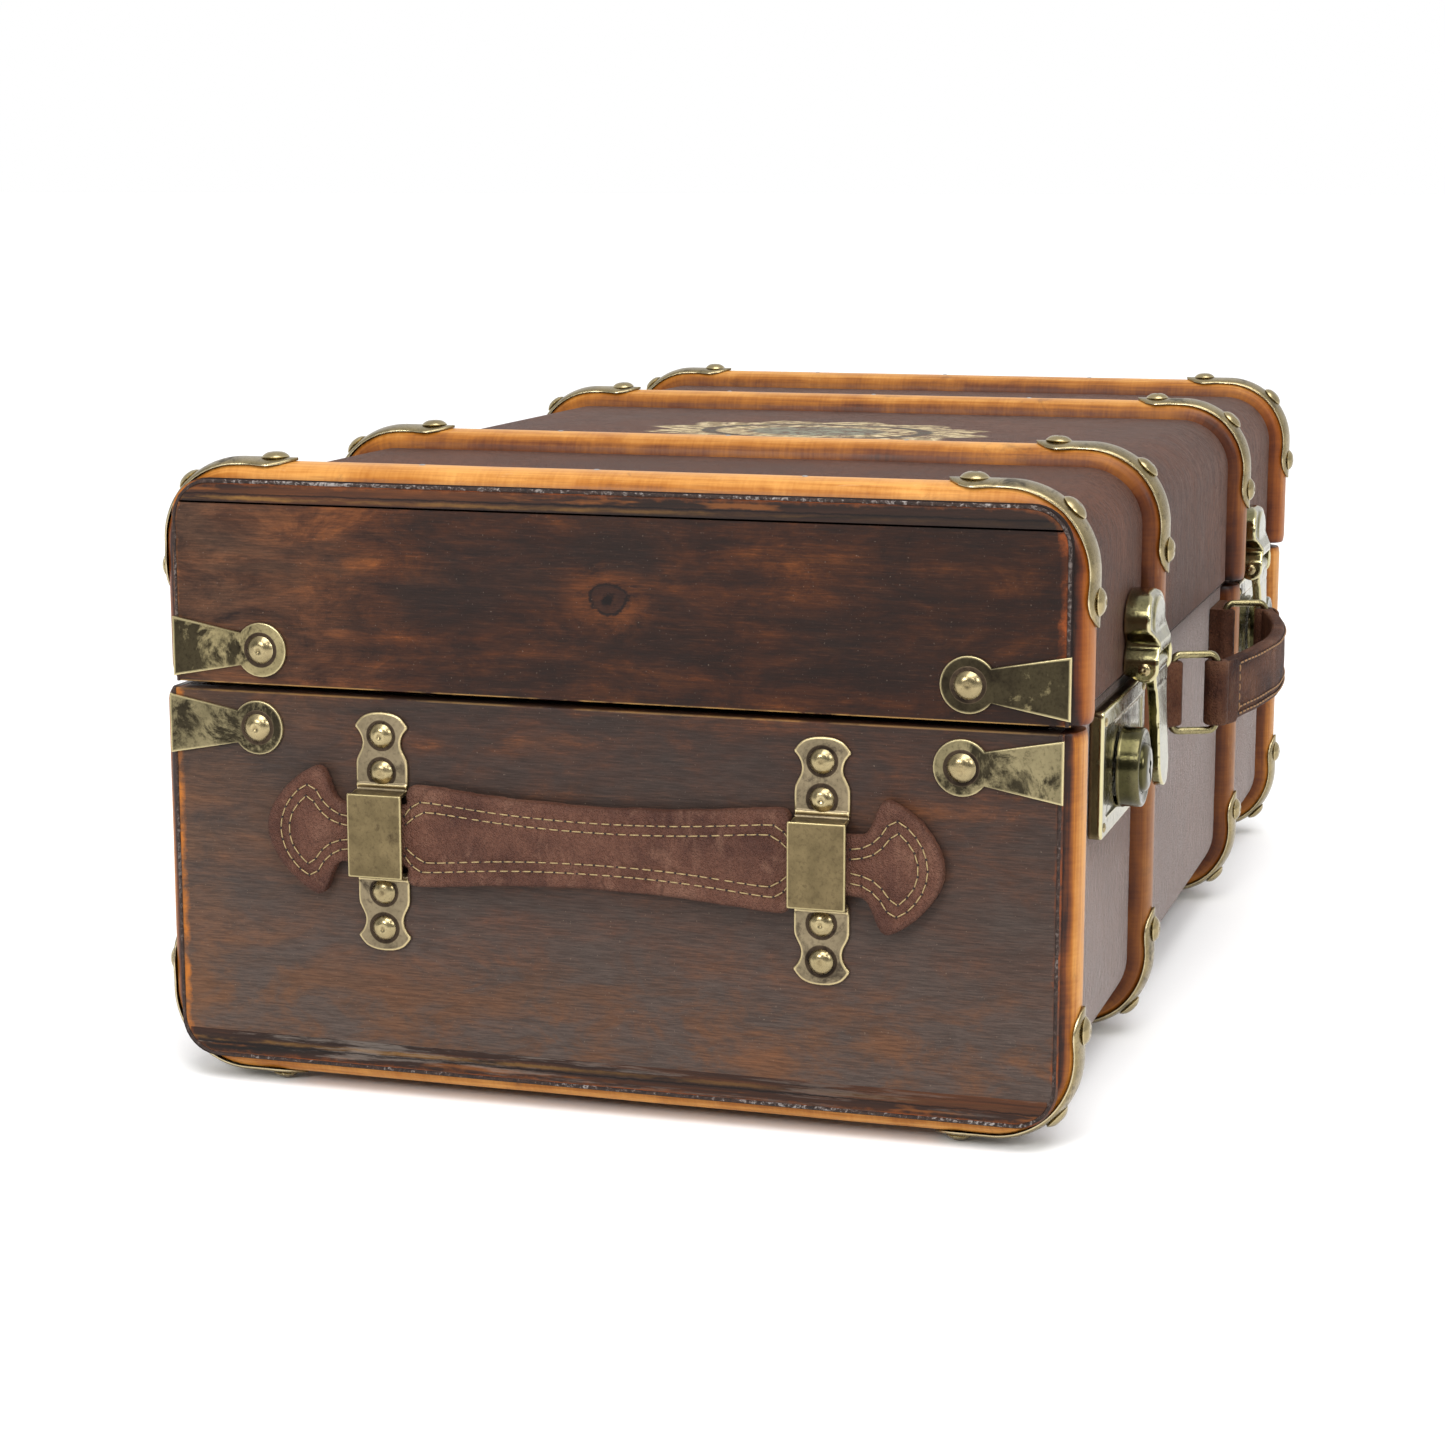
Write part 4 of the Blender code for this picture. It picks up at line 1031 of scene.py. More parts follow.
# half the width at each distance from an end
STRAP_EDGE = smooth_line(((0, 0.0002), (0.0007, 0.0017), (0.0022, 0.0038), (0.0046, 0.0060),
                          (0.0080, 0.0075), (0.0112, 0.0073), (0.0150, 0.0067), (0.0220, 0.0070),
                          (0.0330, 0.0073), (0.0440, 0.0068)), per=6)


def eased(table, where):
    """Straight interpolation in a table of (place, value) pairs."""
    for (low, first), (high, second) in zip(table, table[1:]):
        if where <= high:
            t = max(0.0, (where - low) / (high - low))
            return first + (second - first) * t
    return table[-1][1]


def strap_section(width):
    """The strap's closed section as (across, out) points."""
    right = (0, 0.2, 0.45, 0.7, 0.87, 0.95, 0.985, 1)
    upper, lower = [], []
    for t in [-t for t in right[:0:-1]] + list(right):
        droop = STRAP_DROOP * t * t * (width / 0.0076) ** 1.3
        roll = 0.00035 * max(0.0, (abs(t) - 0.90) / 0.10) ** 2
        upper.append((t * width, STRAP - droop - roll))
        lower.append((t * width, -droop + 0.5 * roll))
    return upper + lower[::-1]


def strap_mesh():
    """A corner strap about the centre of a front upper corner, without its rivets."""
    bend = STRAP_RADIUS * pi / 2
    total = STRAP_TOP + bend + STRAP_SIDE
    ends = [0, 0.0003, 0.0008, 0.0016, 0.0028]
    count = 56
    stops = ends + [0.0042 + (total - 0.0084) * i / count for i in range(count + 1)]
    stops += [total - s for s in reversed(ends)]
    loops = []
    for s in stops:
        loop = []
        for across, out in strap_section(eased(STRAP_EDGE, min(s, total - s))):
            reach = STRAP_RADIUS + out
            if s < STRAP_TOP:
                loop.append((across, STRAP_TOP - s, reach))
            elif s > STRAP_TOP + bend:
                loop.append((across, -reach, -(s - STRAP_TOP - bend)))
            else:
                turn = pi / 2 + (s - STRAP_TOP) / STRAP_RADIUS
                loop.append((across, reach * cos(turn), reach * sin(turn)))
        loops.append(loop)
    return worn(loft(loops), 60, 1.3)


def rivet_spots():
    surface = STRAP_RADIUS + STRAP - 0.0001
    inset = 0.0080
    slant = surface * cos(pi / 4)
    places = ((0, STRAP_TOP - inset, surface), (45, -slant, slant),
              (90, -surface, inset - STRAP_SIDE))
    return [at(0, y, z) @ rolled(radians(turn), "X") for turn, y, z in places]


def add_straps():
    strap = strap_mesh()
    seed = 0
    for half in HALVES:
        level = half.flat - half.side * CORNER
        for number, x in enumerate(SLAT_X, 1):
            for row, place in ROWS:
                seed += 1
                put = at(x, half.y + row * (CASE_HALF - CORNER), level) @ scaled(1, -row, half.side)
                name = f"strap_{number}_{half.name}_{place}"
                add(f"{name}_sheet", moved(strap, put), BRASS, half.body, [name])
                add(f"{name}_rivets", moved(rivets(rivet_spots(), seed), put), RIVET_BRASS,
                    half.body)


# ---- end panel fittings ----
def add_clips(direction, end, seed):
    """Keyhole plates: a disc, with a straight-sided tail that flares to a square end."""
    disc, neck = 0.0090, 0.0054
    open_angle = degrees(asin(neck / disc))
    for half in HALVES:
        for row, place in ROWS:
            node = f"clip_{half.name}_{end}_{place}"
            low, high, middle, size = span(node)
            tail, flare = size.y - disc, size.z / 2
            outline = arc((0, 0), disc, open_angle, 360 - open_angle, 30)
            outline += [(tail, -flare), (tail, flare)]
            centre_y = low.y + disc if row > 0 else high.y - disc
            out = outward_frame(direction, (direction * (FACE_X + GAP), centre_y, middle.z))
            keyhole_plate = plate(outline, 0.0010, 0.0003, 0.0007)
            mesh = moved(keyhole_plate, out @ scaled(row * direction, 1, 1))
            add(f"{node}_plate", worn(mesh, 40, 2.4), CLIP_BRASS[half.name, place], half.body,
                [node])
            seed += 1
            spot = out @ at(z=0.0009)
            add(f"{node}_rivet", rivets([spot], seed), RIVET_BRASS, half.body)
            add(f"{node}_grime", dark_rings([spot]), DARK_RING_BRASS, half.body)


def foot_outline(half_length, inner):
    """One foot of a handle loop: a fan-shaped end, a waist and a straight root."""
    edge = ((0.0090, 0.0172), (0.0084, 0.0150), (0.0069, 0.0118), (0.0068, 0.0092),
            (0.0078, 0.0068), (0.0092, 0.0052))
    crown = ((0.0092, 0.0046), (0.0068, 0.0018), (0.0036, 0.0004), (0, 0))
    right = smooth_line([(0.0090, inner), *((x, half_length - y) for x, y in edge)], per=5)
    right += smooth_line([(x, half_length - y) for x, y in crown], per=4)
    return [(p[0], p[1]) for p in right] + [(-p[0], p[1]) for p in reversed(right[:-1])]


def add_loops(direction, end, seed):
    """The two brass loops of an end handle: bridge plate, feet and four rivets each."""
    raised = HANDLE_THICK + 0.0029      # the bridge clears the handle it holds
    ramp = ((0.0163, 0), (0.0141, 0.0003), (0.0137, raised), (0.0125, raised), (0.0129, 0.0016),
            (0.0150, 0.0012))
    for _, place in ROWS:
        node = f"loop_{end}_{place}"
        low, high, middle, _ = span(node)
        half_length = (high.z - low.z) / 2
        out = outward_frame(direction, (direction * (FACE_X + GAP), middle.y, middle.z))
        feet = []
        for up in (1, -1):
            foot = plate(foot_outline(half_length, 0.0150), 0.0012, 0.0004, 0.0008)
            feet.append(moved(foot, scaled(1, up, 1)))
            feet.append(loft([[(x, y * up, z) for y, z in ramp] for x in (-0.0088, 0.0088)]))
            ridge = [[(x, (0.0158 + 0.0007 * cos(t)) * up, 0.0011 + 0.0006 * sin(t))
                      for t in (pi * k / 6 for k in range(7))] for x in (-0.0089, 0.0089)]
            feet.append(loft(ridge))
        feet = moved(remeshed(together(feet), 0.00032, 2), out)
        add(f"{node}_feet", worn(feet, 60, 4.2, 2), FOOT_BRASS, "base", [node])
        bridge = remeshed(box_mesh((0.0190, 0.0278, 0.0014)), 0.00028, 2)
        bridge = moved(bridge, out @ at(z=raised + 0.0002))
        add(f"{node}_bridge", worn(bridge, 60, 5, 2), LOOP_BRASS, "base")
        spots = [out @ at(0, sign * (half_length - inset), 0.0011) @ scaled(0.9, 0.9, 1)
                 for sign in (1, -1) for inset in (0.0078, 0.0200)]
        seed += 1
        add(f"{node}_rivets", rivets(spots, seed), RIVET_BRASS, "base")
        add(f"{node}_grime", dark_rings(spots), DARK_RING_BRASS, "base")


# ---- stitching ----
def stitches(lines, place, pitch=0.0039, thread=THREAD):
    """Thread, and dark discs of painted shade for the needle holes, along flat lines; place(x, y,
    height) puts a point on the piece.
    """
    points, faces, holes, hole_faces = [], [], [], []
    rings, sides, rim = 5, 6, 8
    for line in lines:
        line = [Vector((p[0], p[1])) for p in line]
        total = lengths(line)
        count = max(1, round(total[-1] / pitch))
        step = total[-1] / count
        for i in range(count):
            a = point_at(line, total, (i + 0.04) * step)
            b = point_at(line, total, (i + 0.96) * step)
            along = (b - a).normalized()
            side = Vector((-along.y, along.x))
            start = len(points)
            for ring in range(rings):
                t = ring / (rings - 1)
                bulge = sin(pi * t) ** 0.5
                centre = a.lerp(b, t)
                radius = thread * (0.55 + 0.45 * bulge)
                for turn in (2 * pi * k / sides for k in range(sides)):
                    flat = centre + side * (cos(turn) * radius)
                    rise = thread * (0.9 * bulge - 0.35) + sin(turn) * radius
                    points.append(place(flat.x, flat.y, rise))
            for ring in range(rings - 1):
                here = start + ring * sides
                for k in range(sides):
                    m = (k + 1) % sides
                    faces.append((here + k, here + m, here + sides + m, here + sides + k))
            faces.append(tuple(start + k for k in range(sides - 1, -1, -1)))
            faces.append(tuple(start + (rings - 1) * sides + k for k in range(sides)))
            spot = point_at(line, total, i * step)
            start = len(holes)
            for size, height in ((1.9, -0.0002), (1.6, 0.0002)):
                for turn in (2 * pi * k / rim for k in range(rim)):
                    holes.append(place(spot.x + cos(turn) * thread * size,
                                       spot.y + sin(turn) * thread * size, height))
            hole_faces += [(start + k, start + (k + 1) % rim, start + rim + (k + 1) % rim,
                            start + rim + k) for k in range(rim)]
            hole_faces.append(tuple(start + rim + k for k in range(rim)))
            hole_faces.append(tuple(start + rim - 1 - k for k in range(rim)))
    return smoothed(mesh_of(points, faces), 70), mesh_of(holes, hole_faces)


# ---- end handles ----
# a quarter of the outline, and the rows of stitching on one side of the grip and of a head
HANDLE_QUARTER = ((0, 0.0135), (0.0180, 0.0138), (0.0350, 0.0147), (0.0520, 0.0162), (0.0600, 0.0168),
                  (0.0630, 0.0166), (0.0645, 0.0150), (0.0648, 0.0120), (0.0650, 0.0103),
                  (0.0760, 0.0099), (0.0865, 0.0099), (0.0893, 0.0106), (0.0912, 0.0133),
                  (0.0930, 0.0180), (0.0945, 0.0206), (0.0962, 0.0214), (0.0985, 0.0208),
                  (0.1025, 0.0184), (0.1070, 0.0146), (0.1110, 0.0097), (0.1136, 0.0048),
                  (extent("end_handle_left").y / 2, 0))
GRIP_OUTER = ((0, 0.0084), (0.0180, 0.0087), (0.0350, 0.0096), (0.0540, 0.0113), (0.0596, 0.0116),
              (0.0628, 0.0098), (0.0654, 0.0066))
GRIP_INNER = ((0, 0.0053), (0.0180, 0.0056), (0.0350, 0.0065), (0.0540, 0.0082), (0.0588, 0.0082),
              (0.0622, 0.0062), (0.0648, 0.0040))
HEAD_OUTER = ((0.0845, 0.0054), (0.0883, 0.0060), (0.0914, 0.0076), (0.0944, 0.0104), (0.0966, 0.0138),
              (0.0986, 0.0152), (0.1010, 0.0146), (0.1046, 0.0116), (0.1080, 0.0064), (0.1094, 0))
HEAD_INNER = ((0.0845, 0.0022), (0.0890, 0.0030), (0.0930, 0.0048), (0.0960, 0.0078), (0.0980, 0.0106),
              (0.0996, 0.0116), (0.1020, 0.0096), (0.1050, 0.0058), (0.1064, 0))


def handle_lines():
    """Every row of stitching on an end handle."""
    lines = []
    for sign in (1, -1):
        for quarter in (GRIP_OUTER, GRIP_INNER):
            lines.append(smooth_line(mirrored([(x, sign * y) for x, y in quarter])))
    for sign in (1, -1):
        for quarter in (HEAD_OUTER, HEAD_INNER):
            top = [(sign * x, y) for x, y in quarter]
            lines.append(smooth_line(top + [(x, -y) for x, y in reversed(top[:-1])]))
    return lines


def add_end_handle(direction, end):
    """Thick two-layer leather with rounded edges, pressed in along its stitching."""
    node = f"end_handle_{end}"
    top = mirrored(HANDLE_QUARTER)
    outline = smooth_line(top + [(x, -y) for x, y in reversed(top[1:-1])], True, 4)
    lines = handle_lines()
    grooves = [p for line in lines for p in line[::2]]
    tree = KDTree(len(grooves))
    for i, p in enumerate(grooves):
        tree.insert((p[0], p[1], 0), i)
    tree.balance()
    body = plate([(p[0], p[1]) for p in outline], HANDLE_THICK, 0.0009)
    body = remeshed(body, 0.00085, 3, 0.75)

    def swell(x, y):
        return 0.00028 * noise.noise((x * 55, y * 55, direction * 5.0))

    for vertex in body.vertices:
        x, y, z = vertex.co
        upper = max(0.0, (z - HANDLE_THICK * 0.55) / (HANDLE_THICK * 0.45))
        groove = 0.00042 * max(0.0, 1 - (tree.find((x, y, 0))[2] / 0.0019) ** 2)
        ripple = 0.00010 * noise.noise((x * 260, y * 260, 2.0))
        side = 0.00025 * noise.noise((x * 90, y * 90, 7.0))
        vertex.co = (x + side, y + side, z + upper * (swell(x, y) + ripple - groove - 0.0001))
    centre = span(node)[2]
    out = outward_frame(direction, (direction * (FACE_X + 2 * GAP), centre.y, centre.z))
    add(f"{node}_leather", worn(moved(body, out), 70, 3.0, 2), HANDLE_LEATHER, node,
        [node])

    def sewn(x, y, height):
        return out @ Vector((x, y, HANDLE_THICK - 0.00038 + swell(x, y) + height))

    thread, holes = stitches(lines, sewn)
    add(f"{node}_thread", thread, THREAD_OCHRE, node)
    add(f"{node}_holes", holes, HOLE_SHADE, node)


# ---- latches ----
HASP_LOW, _, _, HASP_SIZE = span("hasp_left")
HASP_WIDTH = HASP_SIZE.x
HASP_PIN = pivot_of("hasp_left_hinge")
HASP_TILT = radians(3)
BARREL = 0.0039
PLUG_TALL = 0.0018         # how far the lock plug stands out of its button


def latch_casting(width, back, top, pin):
    """The lid casting about x = 0: a round head, a narrow neck and a lobe at the pin."""
    drop = LID.rim
    side = [(back, drop), *((back - y, top - z) for y, z in (
        (0, 0), (0.0040, 0), (0.0070, 0.0006), (0.0086, 0.0022), (0.0091, 0.0075),
        (0.0091, 0.0122), (0.0120, 0.0172), (0.0122, 0.0215)))]
    side += arc((pin[0], pin[1] - 0.0003), 0.0046, 172, 285, 8)
    body = moved(plate(side, width), end_frame(1, -width / 2))
    half = width / 2
    neck = ((0.0006, 0.0132), (0.0038, 0.0158), (0.0050, 0.0180), (0.0032, 0.0206),
            (0.0016, 0.0240))
    right = smooth_line([(half * cos(t), top - 0.0105 + 0.0105 * sin(t) ** 0.9)
                         for t in (pi / 2 * (1 - i / 10) for i in range(11))]
                        + [(half - x, top - z) for x, z in neck] + [(half - 0.0022, drop - 0.0050)],
                        per=3)
    front = [(-p.x, p.y) for p in right[1:]] + [(p.x, p.y) for p in reversed(right)]
    stencil = moved(plate(front, 0.04), front_frame(0, back + 0.01, 0))
    slot = box_mesh((HASP_WIDTH + 0.0010, 0.02, 0.02),
                    (0, back - 0.0027 - 0.01, pin[1] + 0.0052 - 0.01))
    medal = turned([(0, 0.0010), (0.0088, 0.0009), (0.0098, 0.0003), (0.0100, -0.002), (0, -0.002)])
    medal = moved(medal, front_frame(0, back - 0.0090, top - 0.0100) @ scaled(1.25, 0.78, 1))
    solid = together([carved(body, ("INTERSECT", stencil), ("DIFFERENCE", slot)), medal])
    return remeshed(solid, VOXEL, 22)


def hasp_arm():
    """The swinging arm about its pin: a barrel, a gently dished face and a rounded toe."""
    half = HASP_WIDTH / 2
    length = HASP_PIN.z - HASP_LOW.z
    toe = half * 0.74
    right = smooth_line([(half, 0.0010), (half, -0.0050), (half - 0.0022, -0.0090),
                         (half - 0.0036, -0.0150), (half - 0.0036, -0.0230),
                         (toe, toe * 0.95 - length)], per=4)
    outline = [(-p.x, p.y) for p in right]
    outline += [(-toe * cos(radians(a)), -length + toe - toe * sin(radians(a)))
                for a in range(12, 169, 12)]
    outline += [(p.x, p.y) for p in reversed(right)]
    arm = moved(plate(outline, 0.0036), front_frame(0, BARREL, 0) @ at(z=2 * BARREL - 0.0042))
    arm = moved(arm, rolled(-HASP_TILT, "X"))
    barrel = moved(turned([(0, half), (BARREL, half), (BARREL, -half), (0, -half)]),
                   rolled(pi / 2, "Y"))
    step = box_mesh((HASP_WIDTH + 0.01, 0.02, 0.0016), (0, -BARREL - 0.0096, -0.0066))
    return remeshed(carved(arm, ("UNION", barrel), ("DIFFERENCE", step)), VOXEL, 8)


def nails(places, radius, tall, dimple):
    """Plain small nail heads at 4x4 matrices."""
    return [moved(rivet_mesh(radius, tall, dimple), place) for place in places]


def add_lock_plate(end):
    """Cast plate with a raised rounded rim; the field inside the rim is a little lower."""
    node = f"lock_plate_{end}"
    _, high, centre, size = span(node)
    rim, sunk, inset = 0.0064, 0.0006, 0.0038
    outer = plate(rounded_box(size.x / 2, size.z / 2, 0.0020), size.y)
    field = plate(rounded_box(size.x / 2 - rim, size.z / 2 - rim, 0.0022), 0.004)
    field = moved(field, at(z=size.y - sunk))
    out = front_frame(centre.x, high.y, centre.z)
    casting = moved(remeshed(carved(outer, ("DIFFERENCE", field)), VOXEL, 26), out)
    add(f"{node}_casting", worn(casting, 70, 7, 2), LATCH_BRASS, "base", [node])
    corners = [out @ at(sx * (size.x / 2 - inset), sz * (size.z / 2 - inset), size.y - 0.0004)
               for sx in (-1, 1) for sz in (-1, 1)]
    add(f"{node}_nails", worn(together(nails(corners, 0.0019, 0.0011, 0.0001)), 60, 2), RIVET_BRASS,
        "base")


def button_mesh(radius, tall, plug):
    """The slide button: a drum with a rolled rim, a sunken face and a lock plug."""
    e = 0.0008
    face = tall - 0.0005
    crown = tall + PLUG_TALL
    return turned([(0, crown), (plug - 0.0028, crown), (plug - 0.0012, crown - 0.0003),
                   (plug - 0.0003, crown - 0.0011), (plug, crown - 0.0019), (plug + 0.0001, face),
                   (plug + 0.0008, face - 0.0004), (plug + 0.0016, face), (radius - 3 * e, face),
                   (radius - 2 * e, tall - 0.0001), (radius - e, tall),
                   (radius - 0.4 * e, tall - 0.3 * e), (radius, tall - e), (radius, 0.0016),
                   (radius + 0.0004, 0.0008), (radius + 0.0003, 0.0001), (0, 0.0001)], 72)


def keyhole(depth):
    """A crooked three-armed slot, as an outline cut into the plug."""
    turn = radians(12)
    outline = [(-0.0006, 0.0052), (0.0005, 0.0050), (0.0008, 0.0022), (0.0022, 0.0016),
               (0.0026, 0.0004), (0.0010, -0.0004), (0.0013, -0.0030), (0.0004, -0.0052),
               (-0.0007, -0.0050), (-0.0009, -0.0018), (-0.0020, -0.0012), (-0.0022, 0.0002),
               (-0.0008, 0.0010)]
    line = smooth_line(outline, True, 3)
    points = [(p.x * cos(turn) - p.y * sin(turn), p.x * sin(turn) + p.y * cos(turn)) for p in line]
    return plate(points[::-1], depth)


def add_button(end):
    node = f"lock_button_{end}"
    low, _, centre, size = span(node)
    radius = size.x / 2
    plate_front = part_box(f"lock_plate_{end}")[0].y
    tall = plate_front - low.y - PLUG_TALL
    out = front_frame(centre.x, plate_front, centre.z)
    slot = moved(keyhole(0.01), at(z=tall + PLUG_TALL - 0.0013))
    drum = carved(button_mesh(radius, tall, radius * 0.615), ("DIFFERENCE", slot))
    add(f"{node}_drum", worn(moved(drum, out), 38, 1.1, 0), BUTTON_BRASS, node,
        [node])
    floor = moved(turned([(0, 0.0002), (0.0060, 0.0002), (0.0060, 0), (0, 0)]),
                  out @ at(z=tall + PLUG_TALL - 0.00125))
    add(f"{node}_keyway", floor, BLACK, node)


def add_latch(end):
    node = f"latch_{end}"
    _, high, centre, size = span(node)
    x, width = centre.x, size.x - 0.0010
    casting = moved(latch_casting(width, high.y, high.z, HASP_PIN.yz), at(x))
    add(f"{node}_casting", worn(casting, 70, 7, 2), LATCH_BRASS, "lid", [node])
    ends = nails([at(x + sign * width / 2, *HASP_PIN.yz) @ rolled(sign * pi / 2, "Y")
                  for sign in (-1, 1)], 0.0021, 0.0008, 0.0002)
    ends += nails([front_frame(x + sign * 0.0085, high.y - 0.0086, high.z - 0.0095)
                   for sign in (-1, 1)], 0.0014, 0.0006, 0.0001)
    add(f"{node}_pin", worn(together(ends), 60, 2), RIVET_BRASS, "lid")
    arm = moved(hasp_arm(), at(x, *HASP_PIN.yz))
    add(f"hasp_{end}_arm", worn(arm, 70, 7, 2), LATCH_BRASS, f"hasp_{end}",
        [f"hasp_{end}"])
    add_lock_plate(end)
    add_button(end)


# ---- front handle ----
def add_ring(end):
    """A rectangular ring of round wire, leaning out at its pivot."""
    node = f"front_ring_{end}"
    pivot = pivot_of(f"{node}_hinge")
    low, high, _, _ = span(node)
    half = (high.z - low.z) / 2 - RING_WIRE
    reach = (-low.y + pivot.y - RING_WIRE) / cos(RING_LEAN)
    corner = 0.0029
    flat = []
    for x, y, start in ((corner, half - corner, 180), (reach - corner, half - corner, 90),
                        (reach - corner, corner - half, 0), (corner, corner - half, -90)):
        flat += arc((x, y), corner, start, start - 90, 8)
    loops = []
    for i, (a, b) in enumerate(flat):
        way = (Vector(flat[(i + 1) % len(flat)]) - Vector(flat[i - 1])).normalized()
        loop = []
        for turn in (2 * pi * k / 12 for k in range(12)):
            out = cos(turn) * RING_WIRE
            across = sin(turn) * RING_WIRE
            u, w = a + way.y * out, b - way.x * out
            loop.append(pivot + Vector((u * sin(RING_LEAN) + across * cos(RING_LEAN),
                                        -u * cos(RING_LEAN) + across * sin(RING_LEAN), w)))
        loops.append(loop)
    add(f"{node}_wire", worn(loft(loops, closed=True), 60, 0.6), WIRE_BRASS, node,
        [node])


GRIP_PIVOT = pivot_of("front_grip_hinge")
GRIP_SPAN = 0.1400
GRIP_TALL = extent("front_grip").z
GRIP_THICK = 0.0050
GRIP_BOW = 0.0120
GRIP_EYE = 0.0044


def add_front_grip():
    """Bowed strap: a core, an eye and a folded end at each ring, and a sewn border."""
    steps = 72
    path = [Vector((GRIP_SPAN * i / steps, -GRIP_BOW * sin(pi * i / steps) ** 0.8 if 0 < i < steps
                    else 0.0)) for i in range(steps + 1)]
    total = lengths(path)
    half = GRIP_TALL / 2
    fold = 0.0110

    def spot(s, v, height):
        p = point_at(path, total, s)
        way = (point_at(path, total, s + 0.001) - point_at(path, total, s - 0.001)).normalized()
        sag = 0.0009 * noise.noise((s * 40, 0.3, 2.1))
        return GRIP_PIVOT + Vector((p.x + way.y * height, p.y - way.x * height, v + sag))

    def band(start, stop, low, high, tall, edge, count=64):
        loops = []
        for i in range(count + 1):
            s = start + (stop - start) * i / count
            pinch = 0.90 if i in (0, count) else 1.0
            h = tall * (1 + 0.012 * noise.noise((s * 70, 3.3, 0.1)))
            cut = 0.3 * edge
            section = [(-h, low + edge), (-h, high - edge), (-h + cut, high - cut), (-h + edge, high),
                       (-h * 0.5, high + 0.0003), (0, high + 0.0004), (h * 0.5, high + 0.0003),
                       (h - edge, high), (h - cut, high - cut), (h, high - edge), (h, low + edge),
                       (h - cut, low + cut), (h - edge, low), (0, low), (-h + edge, low),
                       (-h + cut, low + cut)]
            loops.append([spot(s, v * pinch, w * pinch + (1 - pinch) * (low + high) / 2)
                          for v, w in section])
        return loft(loops)

    pieces = [band(0.0010, total[-1] - 0.0010, -GRIP_THICK / 2, GRIP_THICK / 2, half - 0.0004,
                   0.0010)]
    for eye in (path[0], path[-1]):
        roll = turned([(0.0019, half), (GRIP_EYE - 0.0007, half), (GRIP_EYE, half - 0.0007),
                       (GRIP_EYE, 0.3 * half), (GRIP_EYE, -0.3 * half), (GRIP_EYE, 0.0007 - half),
                       (GRIP_EYE - 0.0007, -half), (0.0019, -half)], 32)
        pieces.append(moved(roll, Matrix.Translation(GRIP_PIVOT + Vector((eye.x, eye.y, 0)))))
    for start, stop in ((0.0022, fold), (total[-1] - fold, total[-1] - 0.0022)):
        pieces.append(band(start, stop, GRIP_THICK / 2 - 0.0004, GRIP_THICK / 2 + 0.0008, half,
                           0.0006, 8))
    add("front_grip_leather", worn(together(pieces), 50, 0.9), GRIP_LEATHER, "front_grip",
        ["front_grip"])
    inset = 0.0024
    start, stop = fold + 0.0016, total[-1] - fold - 0.0016
    rows = [between((start, level), (stop, level), 0.002)
            for level in (half - inset, inset - half, inset - half + 0.0024)]
    rows += [between((s, half - inset), (s, inset - half), 0.001)[:-1] for s in (start, stop)]
    thread, holes = stitches(rows, lambda x, y, z: spot(x, y, GRIP_THICK / 2 + 0.0003 + z), 0.0036,
                             0.00038)
    add("front_grip_thread", thread, THREAD_BROWN, "front_grip")
    add("front_grip_holes", holes, HOLE_SHADE, "front_grip")


def between(a, b, step):
    """Points about a step apart on the straight line from a to b."""
    count = max(1, int(dist(a, b) / step))
    return [(a[0] + (b[0] - a[0]) * i / count, a[1] + (b[1] - a[1]) * i / count)
            for i in range(count + 1)]


def add_front_tab(direction, end):
    """A leather tab folded round the ring's inner bar and held by two rivets."""
    node = f"front_tab_{end}"
    low, high, _, _ = span(node)
    pivot = pivot_of(f"front_ring_{end}_hinge")
    back = high.y - pivot.y
    half = (high.z - low.z) / 2
    eye, thick, length = 0.0037, 0.0034, 0.0262
    front = back - thick
    profile = [(-length, back - 0.0003), (-length + 0.0004, back), (0.0020, back),
               *arc((0, 0), eye, 40, -128, 16), (-0.0085, front - 0.0012), (-0.0150, front - 0.0004),
               (-length + 0.0006, front), (-length, front + 0.0006)]
    loops = []
    for share in (1.0, 0.985, 0.94, 0.80, 0.4, 0.0, -0.4, -0.80, -0.94, -0.985, -1.0):
        shrink = 1.0 - 0.10 * max(0.0, (abs(share) - 0.94) / 0.06) ** 2
        loop = []
        for x, y in profile:
            sag = 0.00025 * noise.noise((x * 160, share * 2.0, direction * 2.0))
            loop.append((pivot.x - direction * x, pivot.y + y * shrink + back * (1 - shrink) - sag,
                         pivot.z + share * half))
        loops.append(loop)
    add(f"{node}_leather", worn(loft(loops), 45, 0.7), GRIP_LEATHER, "base", [node])
    spots = [front_frame(pivot.x + direction * 0.0195, pivot.y + front - 0.0001, pivot.z + z)
             @ scaled(0.85, 0.85, 0.85) for z in (-0.0066, 0.0066)]
    add(f"{node}_rivets", rivets(spots, 5 + direction), RIVET_BRASS, "base")


# ---- hinge, nails ----
def repaint(node, paint):
    node.data.materials.clear()
    node.data.materials.append(paint)


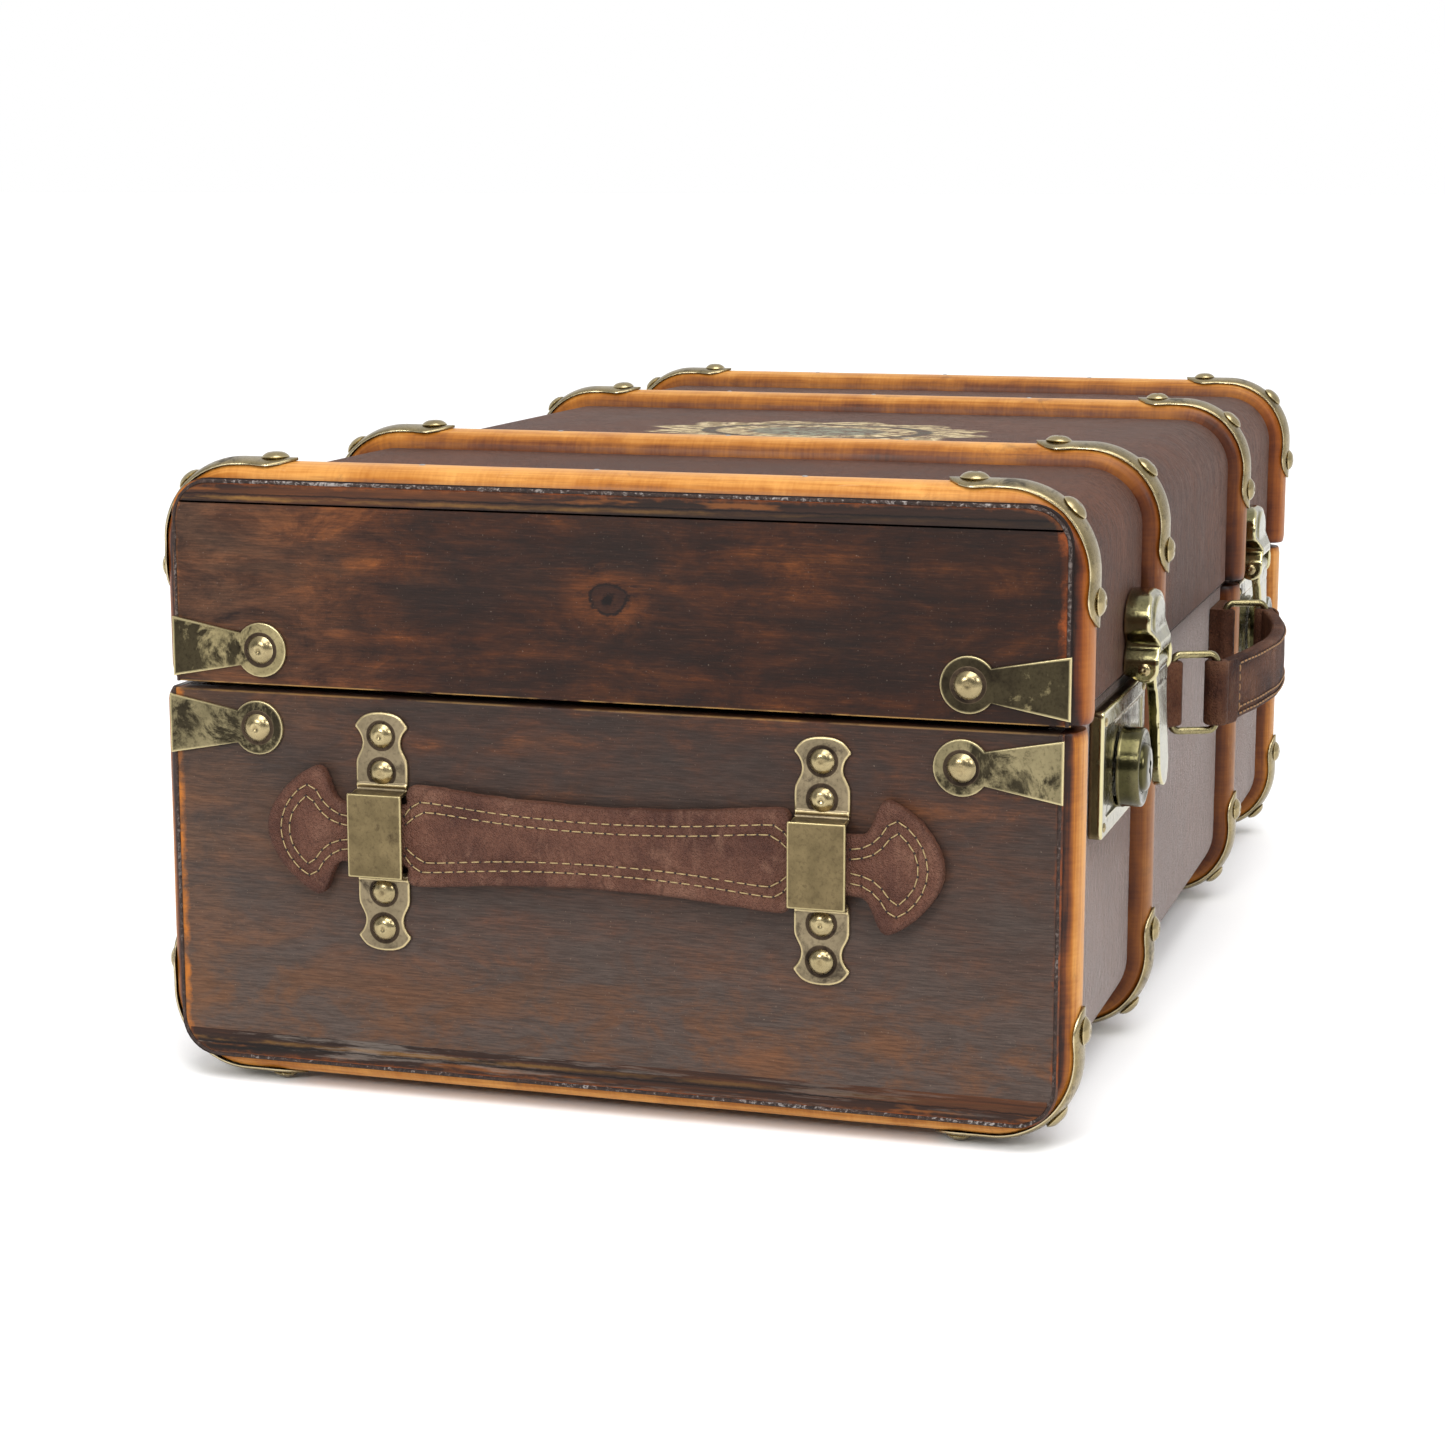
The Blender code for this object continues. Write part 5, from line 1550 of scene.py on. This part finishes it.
def add_hinge():
    """The long back hinge: softened leaves, countersunk screws and their brass."""
    for half in HALVES:
        node = frame["nodes"][f"hinge_leaf_{half.name}"]
        modified(node, "BEVEL", width=0.00025, segments=2, limit_method="ANGLE")
        repaint(node, HINGE_BRASS)
        low, high, _, size = span(f"hinge_leaf_{half.name}")
        level = (SEAM + (high.z if half.side > 0 else low.z)) / 2 + half.side * 0.0018
        behind = low.y + 0.0016 + (0.0018 if half.side > 0 else 0)
        back = axes_frame((-1, 0, 0), (0, 0, 1), (0, 1, 0), (0, behind, 0))
        screws = []
        for i in range(6):
            head = turned([(0, 0.0006), (0.0018, 0.00055), (0.0027, 0.0003), (0.0030, 0),
                           (0.0030, -0.0004), (0, -0.0004)], 24)
            slot = box_mesh((0.0075, 0.0007, 0.0010), (0, 0, 0.0007))
            head = moved(carved(head, ("DIFFERENCE", slot)), rolled(0.7 * i + half.side, "Z"))
            screws.append(moved(head, at((i - 2.5) * size.x / 6.4, 0, level) @ back))
        add(f"hinge_screws_{half.name}", worn(together(screws), 40, 1.5, 0), RIVET_BRASS,
            half.body)
    repaint(frame["nodes"]["hinge_pin"], WIRE_BRASS)


def add_slat_nails():
    """Small dark brads driven through the slats into the case."""
    for half in HALVES:
        places = []
        z = half.flat + half.side * (SLAT_HEIGHT - 0.0001)
        for number, x in enumerate(SLAT_X, 1):
            for i, share in enumerate((-0.42, 0.03, 0.45)):
                turn = Matrix.Identity(4) if half.side > 0 else rolled(pi, "X")
                shift = 0.0025 * noise.noise((number * 2.3, i * 1.9, half.side))
                places.append(at(x + shift, half.y + CASE_HALF * share + 3 * shift, z) @ turn)
        mesh = together(nails(places, 0.0011, 0.00035, 0.0001))
        add(f"{half.name}_slat_nails", smoothed(mesh, 60), STEEL, half.body)


# ---- stage ----
def aim(obj, place, way):
    obj.location = place
    obj.rotation_euler = Vector(way).to_track_quat("-Z", "Y").to_euler()


def add_stage():
    """Pale floor under a bright backdrop that darkens towards the viewer's side."""
    bpy.ops.mesh.primitive_plane_add(size=90, location=(0, 0, 0))
    floor = bpy.context.object
    floor.name = "floor"
    paint = Graph("floor_paint").finish((0.93, 0.93, 0.93), 1.0, Specular_IOR_Level=0.0)
    floor.data.materials.append(paint)
    g = Graph("studio", "worlds", "Background")
    x, _, z = g.axes(g.node("ShaderNodeTexCoord", {}, "Generated"))
    strength = g.math("MAXIMUM", x.level(-0.75, 0.35, WORLD_DARK, WORLD_BRIGHT),
                      z.level(0.30, 0.85, 0.0, WORLD_BRIGHT))
    g.feed(g.shader.inputs["Strength"], strength)
    g.feed(g.shader.inputs["Color"], (1.0, 1.0, 1.0))
    bpy.context.scene.world = g.owner
    sun = bpy.data.lights.new("overhead", "SUN")
    sun.energy = 1.5
    sun.angle = radians(40)
    aim(linked(sun, "overhead"), (0, 0, 0), (0.30, 0.25, -1))


def add_lamp(name, place, target, size, power):
    lamp = bpy.data.lights.new(name, "AREA")
    lamp.shape = "RECTANGLE"
    lamp.size = lamp.size_y = size
    lamp.energy = power
    aim(linked(lamp, name), place, Vector(target) - Vector(place))


def add_camera():
    """The photograph's view: from the left, a little in front and above."""
    camera = bpy.data.cameras.new("camera")
    camera.lens = 75.58
    camera.sensor_width = 36
    camera.clip_start = 0.01
    obj = linked(camera, "camera")
    turn, dip = radians(17.05), radians(10.23)
    aim(obj, (-1.15375, -0.3170 + BASE.y, 0.30255),
        (cos(turn) * cos(dip), sin(turn) * cos(dip), -sin(dip)))
    bpy.context.scene.camera = obj


def build():
    for half in HALVES:
        add_wrap(half)
        add_lining(half)
        for number, x in enumerate(SLAT_X, 1):
            add_slat(half, number, x)
        for direction, end in SIDES:
            add_end_panel(half, direction, end)
    add_straps()
    add_slat_nails()
    for direction, end in SIDES:
        add_clips(direction, end, 20 + direction)
        add_loops(direction, end, 30 + direction)
        add_end_handle(direction, end)
        add_latch(end)
        add_front_tab(direction, end)
        add_ring(end)
    add_front_grip()
    add_hinge()


build()
add_stage()
add_camera()
add_lamp("key", (-1.35, 0.34, 0.66), (-0.12, -0.1, 0.15), 0.34, 6)
add_lamp("spark", (-1.38, -0.62, 1.0), (-0.2, -0.19, 0.17), 0.17, 1.8)
add_lamp("soft", (-1.3, -0.12, 1.45), (0, 0, 0.1), 0.7, 9)
add_lamp("glint", (-1.0, -1.5, 1.0), (0, -0.1, 0.1), 0.5, 7)
bpy.context.scene.view_settings.view_transform = "Standard"
